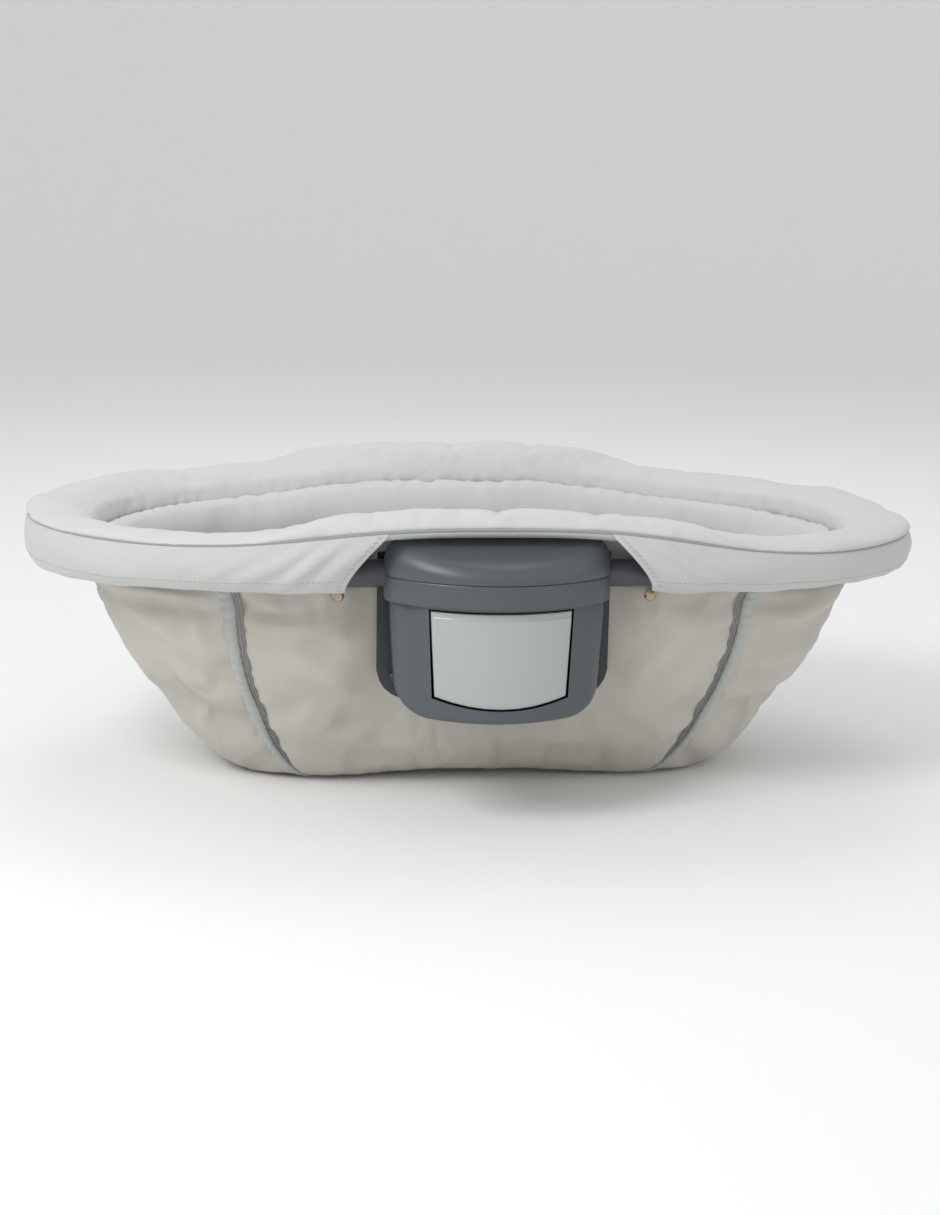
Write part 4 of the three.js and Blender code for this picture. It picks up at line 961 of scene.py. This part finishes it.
# Rows above the opening's sill: height over the band's bottom and depth behind the front.
band_height = housing_high.z - BAND_BOTTOM
BAND_ROWS = [
    (band_height, 0.0030), (band_height, 0.0008), (band_height - 0.0006, 0.0002),
    (band_height - 0.0014, 0), (band_height * 0.5, 0), (0.0016, 0), (0.0006, 0.00025),
    (0, 0.0009), (-0.0003, CHEEK_INSET), (-0.0020, CHEEK_INSET)]
WINDOW_ROWS = [0.16, 0.33, 0.5, 0.67, 0.84, 1.0]
CHIN_ROWS = [0.3, 0.6, 0.8, 0.9, 0.96, 1.0]


def hub_half_at(z):
    """Half width of the housing at a height: the cheeks are narrower and taper to the chin."""
    if z > BAND_BOTTOM - 0.0001:
        return HUB_HALF
    share = (BAND_BOTTOM - z) / (BAND_BOTTOM - housing_low.z)
    return HUB_HALF - CHEEK_STEP - CHEEK_TAPER * share


def chin_line(share):
    half = HUB_HALF - CHEEK_STEP - CHEEK_TAPER
    return housing_low.z + 0.003 * share * share + fillet(half * (1 - abs(share)), CHIN_CORNER) * 0.9


def sill_line(share):
    return paddle_low.z - 0.0012 + 0.008 * min(abs(share) / WINDOW_SHARE, 1.3) ** 2


def housing_spot(share, row):
    kind, value = row
    if kind == "band":
        z = BAND_BOTTOM + value[0]
        inset = value[1]
        edge = 0.0
    elif kind == "window":
        top = BAND_BOTTOM - 0.0020
        z = top + (sill_line(share) - top) * value
        inset = CHEEK_INSET
        edge = 0.0
    else:
        low = chin_line(share)
        z = sill_line(share) + (low - sill_line(share)) * value
        inset = CHEEK_INSET
        edge = fillet(z - low, 0.003)
    half = hub_half_at(z)
    x = share * half
    notch = 0.003 if abs(share) > 0.76 and BAND_BOTTOM - 0.006 < z < BAND_BOTTOM - 0.0001 else 0.0
    outward = hub_bow(x) - inset - notch - fillet(half - abs(x), SIDE_ROUND) - edge
    return x, max(outward, HUB_BACK + 0.002), z


hub_rows = (
    [("band", value) for value in BAND_ROWS] + [("window", value) for value in WINDOW_ROWS]
    + [("chin", value) for value in CHIN_ROWS])
middle_column = len(half_columns) - 1
window_column = half_columns.index(WINDOW_SHARE)
window_row = len(BAND_ROWS) - 1
WINDOW = (middle_column - window_column, middle_column + window_column, window_row,
          window_row + len(WINDOW_ROWS))
for hub_side, way in HUBS:
    shape, outer, inner = stated_grid(
        hub_columns, hub_rows, lambda share, row: hub_world(*housing_spot(share, row), way), WINDOW)
    extrude_back(shape, inner, way, WINDOW_DEPTH)
    extrude_back(shape, outer, way)
    face_outwards(shape, Vector((0, way, 0)))
    housing = add_piece(shape, f"housing_{hub_side}", hub_plastic)
    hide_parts(f"hub_housing_{hub_side}")
    finish_mesh(housing, HUB_WALL, -1, levels=0)
    crease(housing)

# ------------------------------------------------------------------ hub caps
# A smooth lid over each housing. It slopes up from the band's top edge to a crest against the
# fabric, with a large soft edge all round and a fine gap below.

CREST_OUT = 0.005
CAP_RETURN = 0.020
CAP_FLOOR = 0.2153


def cap_plane(outward):
    """The height of the sloping top this far outward."""
    if outward >= CREST_OUT:
        return cap_high.z - 0.42 * (outward - CREST_OUT)
    return max(cap_high.z - 1.2 * (CREST_OUT - outward), CAP_FLOOR)


def cap_wall(share):
    """The lid's outline: up one side from the back, round the front and back down the other."""
    reach = share * (HUB_HALF + CAP_RETURN)
    if abs(reach) > HUB_HALF:
        return math.copysign(HUB_HALF, share), HUB_SIDE - SIDE_ROUND - (abs(reach) - HUB_HALF)
    return reach, hub_bow(reach) - fillet(HUB_HALF - abs(reach), SIDE_ROUND)


cap_columns = []
for share in half_columns:
    cap_columns.append(share * HUB_HALF / (HUB_HALF + CAP_RETURN))
cap_columns += [cap_columns[-1] + (1 - cap_columns[-1]) * part for part in (0.15, 0.4, 0.7, 1.0)]
cap_columns = [-share for share in reversed(cap_columns[1:])] + cap_columns
FOOT_ROWS = [(0.0, 0.003), (0.0, 0.0008), (0.0004, 0.0002), (0.0009, 0)]
cap_rows = (
    [("foot", value) for value in FOOT_ROWS] + [("round", angle) for angle in range(0, 91, 10)]
    + [("top", part) for part in (0.12, 0.3, 0.5, 0.75, 1.0)])


def cap_spot(share, row):
    kind, value = row
    x, outward = cap_wall(share)
    room = cap_plane(outward) - cap_low.z - 0.0012
    radius = max(min(0.0085 + 0.0095 * (abs(x) / HUB_HALF) ** 3, room), 0.003)
    centre = Vector((x * 0.6, CREST_OUT))
    spot = Vector((x, outward))
    inward = (centre - spot).normalized() if (centre - spot).length > 1e-6 else Vector((0, -1))
    if kind == "foot":
        spot += inward * value[1]
        return spot.x, spot.y, cap_low.z + value[0]
    if kind == "round":
        angle = math.radians(value)
        distance = radius * (1 - math.cos(angle))
        spot += inward * distance
        return spot.x, spot.y, cap_plane(outward) - radius + radius * math.sin(angle) + (
            (cap_plane(spot.y) - cap_plane(outward)) * math.sin(angle))
    spot += inward * radius
    spot = spot.lerp(Vector((x * 0.72, CREST_OUT)), value)
    return spot.x, spot.y, cap_plane(spot.y)


for hub_side, way in HUBS:
    shape, outer, inner = stated_grid(
        cap_columns, cap_rows, lambda share, row: hub_world(*cap_spot(share, row), way))
    crest = [edge for edge in outer if all(
        abs(vertex.co.y * way - RIM_OUT - CREST_OUT) < 1e-5 and vertex.co.z > cap_high.z - 0.002
        for vertex in edge.verts)]
    for vertex in bmesh.ops.extrude_edge_only(shape, edges=crest)["geom"]:
        if isinstance(vertex, bmesh.types.BMVert):
            vertex.co.y = (RIM_OUT + HUB_BACK) * way
            vertex.co.z = CAP_FLOOR
    face_outwards(shape, Vector((0, 0, 1)))
    cap = add_piece(shape, f"cap_{hub_side}", hub_plastic)
    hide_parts(f"hub_cap_{hub_side}")
    finish_mesh(cap, HUB_WALL, -1, levels=0)
    crease(cap, 40)

# ------------------------------------------------------------------ release paddles
# The pale paddle in each housing's opening, hung from a pin at its top. It follows the housing's
# bow, has a thin bevelled lip along its top and a curved bottom edge.

PADDLE_PLAY = 0.0016
PADDLE_EDGE = 0.006
PADDLE_WALL = 0.0022
paddle_columns = [-1, -0.995, -0.985, -0.96, -0.9, -0.75, -0.5, -0.25, 0, 0.25, 0.5, 0.75, 0.9, 0.96, 0.985,
                  0.995, 1]
paddle_rows = [0, 0.005, 0.015, 0.03, 0.055, 0.065, 0.075, 0.12, 0.3, 0.5, 0.7, 0.88, 0.95, 0.98,
               0.992, 0.998, 1]


def paddle_spot(share, down):
    half = WINDOW_SHARE * (HUB_HALF - CHEEK_STEP - 0.0055 * down) - PADDLE_PLAY
    x = share * half
    low = paddle_low.z + 0.0003 + 0.008 * share * share
    high = paddle_high.z
    z = high + (low - high) * down
    edge = max(fillet((1 - abs(share)) * half, 0.0018), fillet(z - low, 0.0022), fillet(high - z, 0.0012))
    lip = 0.0011 * smooth_step(down, 0.078, 0.058)
    swell = 0.0012 * (1 - share * share) * math.sin(math.pi * min(down, 1))
    return x, hub_bow(x) - 0.0036 - edge - lip + swell, z


for hub_side, way in HUBS:
    shape, outer, inner = stated_grid(
        paddle_columns, paddle_rows, lambda share, down: hub_world(*paddle_spot(share, down), way))
    extrude_back(shape, outer, way, PADDLE_EDGE)
    face_outwards(shape, Vector((0, way, 0)))
    paddle = add_piece(shape, f"paddle_face_{hub_side}", pale_plastic, f"paddle_{hub_side}")
    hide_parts(f"release_paddle_{hub_side}")
    finish_mesh(paddle, PADDLE_WALL, -1, levels=0)
    crease(paddle)

# ------------------------------------------------------------------ harness
# A waist strap from each side and a strap from between the legs, looped through the slots of a
# three-way buckle. Each is a flat woven band.

webbing = fabric_finish("webbing", (0.30, 0.30, 0.29), (0.24, 0.24, 0.235), 0.0009, 0.12)
STRAP_WIDTH = 0.025
STRAP_THICKNESS = 0.0013


def strap(name, path, across, node):
    """A band along a path, as wide as across is long."""
    route = smooth_line(path, 90)
    length = sum((after - before).length for before, after in zip(route, route[1:]))

    def place(share, part):
        spot, ahead = along(route, share)
        return spot + across * (part - 0.5)
    shape = warped_grid(120, 10, place)
    band = add_piece(shape, name, webbing)
    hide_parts(node)
    finish_mesh(band, STRAP_THICKNESS, 0, levels=0)


WAIST_ROUTE = [
    (0.1144, 0.0855), (0.1065, 0.0775), (0.0990, 0.0648), (0.0930, 0.0546), (0.0854, 0.0415),
    (0.0720, 0.0350), (0.0590, 0.0317), (0.0500, 0.0309), (0.0440, 0.0292), (0.0430, 0.0275),
    (0.0440, 0.0256), (0.0500, 0.0243), (0.0590, 0.0245)]
CROTCH_ROUTE = [
    (-0.1120, 0.0206), (-0.0980, 0.0206), (-0.0850, 0.0206), (-0.0640, 0.0209), (-0.0438, 0.0212),
    (-0.0298, 0.0235), (-0.0208, 0.0233), (-0.0178, 0.0252), (-0.0172, 0.0275), (-0.0178, 0.0298),
    (-0.0208, 0.0317), (-0.0298, 0.0305), (-0.0478, 0.0251), (-0.0618, 0.0236)]
for hub_side, way in HUBS:
    strap(f"waist_band_{hub_side}", [Vector((0, y * way, z)) for y, z in WAIST_ROUTE],
          Vector((STRAP_WIDTH, 0, 0)), f"waist_strap_{hub_side}")
strap("crotch_band", [Vector((x, 0, z)) for x, z in CROTCH_ROUTE],
      Vector((0, STRAP_WIDTH, 0)), "crotch_strap")


def softened(node, name, finish, body, radius=0.0008):
    """A rounded copy of a CAD solid, which it stands for."""
    shape = bmesh.new()
    shape.from_mesh(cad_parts[node].data)
    bmesh.ops.remove_doubles(shape, verts=shape.verts, dist=1e-6)
    bmesh.ops.dissolve_limit(
        shape, angle_limit=math.radians(1), verts=shape.verts, edges=shape.edges, delimit={"NORMAL"})
    piece = add_piece(shape, name, finish, body)
    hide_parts(node)
    rounding = piece.modifiers.new("rounding", "BEVEL")
    rounding.width = radius
    rounding.segments = 3
    rounding.limit_method = "ANGLE"
    rounding.angle_limit = math.radians(30)
    crease(piece, 40)


softened("buckle_body", "buckle_shell", dark_plastic, "seat", 0.0012)
softened("buckle_button", "buckle_key", pale_plastic, "button", 0.0008)
for hub_side, way in HUBS:
    small_parts = (("buckle_tongue", "tongue", "seat"), ("strap_slider", "slide", f"slider_{hub_side}"))
    for node, name, body in small_parts:
        softened(f"{node}_{hub_side}", f"{name}_{hub_side}", dark_plastic, body, 0.0005)

# ------------------------------------------------------------------ hidden hardware
# The parts behind the housings and the snaps keep their modelled shape and take a finish.

snap_finish = Finish("snap_metal", (0.46, 0.37, 0.24), 0.3, metallic=1.0)
snap_finish.set("Roughness", snap_finish.cloud(500, 2) * 0.15 + 0.25)
HARDWARE = {
    "hub_back_plate": dark_plastic, "post_socket": dark_plastic, "latch_slider": pale_plastic,
    "latch_spring": steel_finish, "paddle_pin": steel_finish, "hub_screw": steel_finish,
    "sling_snap": snap_finish}
for node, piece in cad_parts.items():
    for start, finish in HARDWARE.items():
        if node.startswith(start):
            piece.data.materials.clear()
            piece.data.materials.append(finish.material)
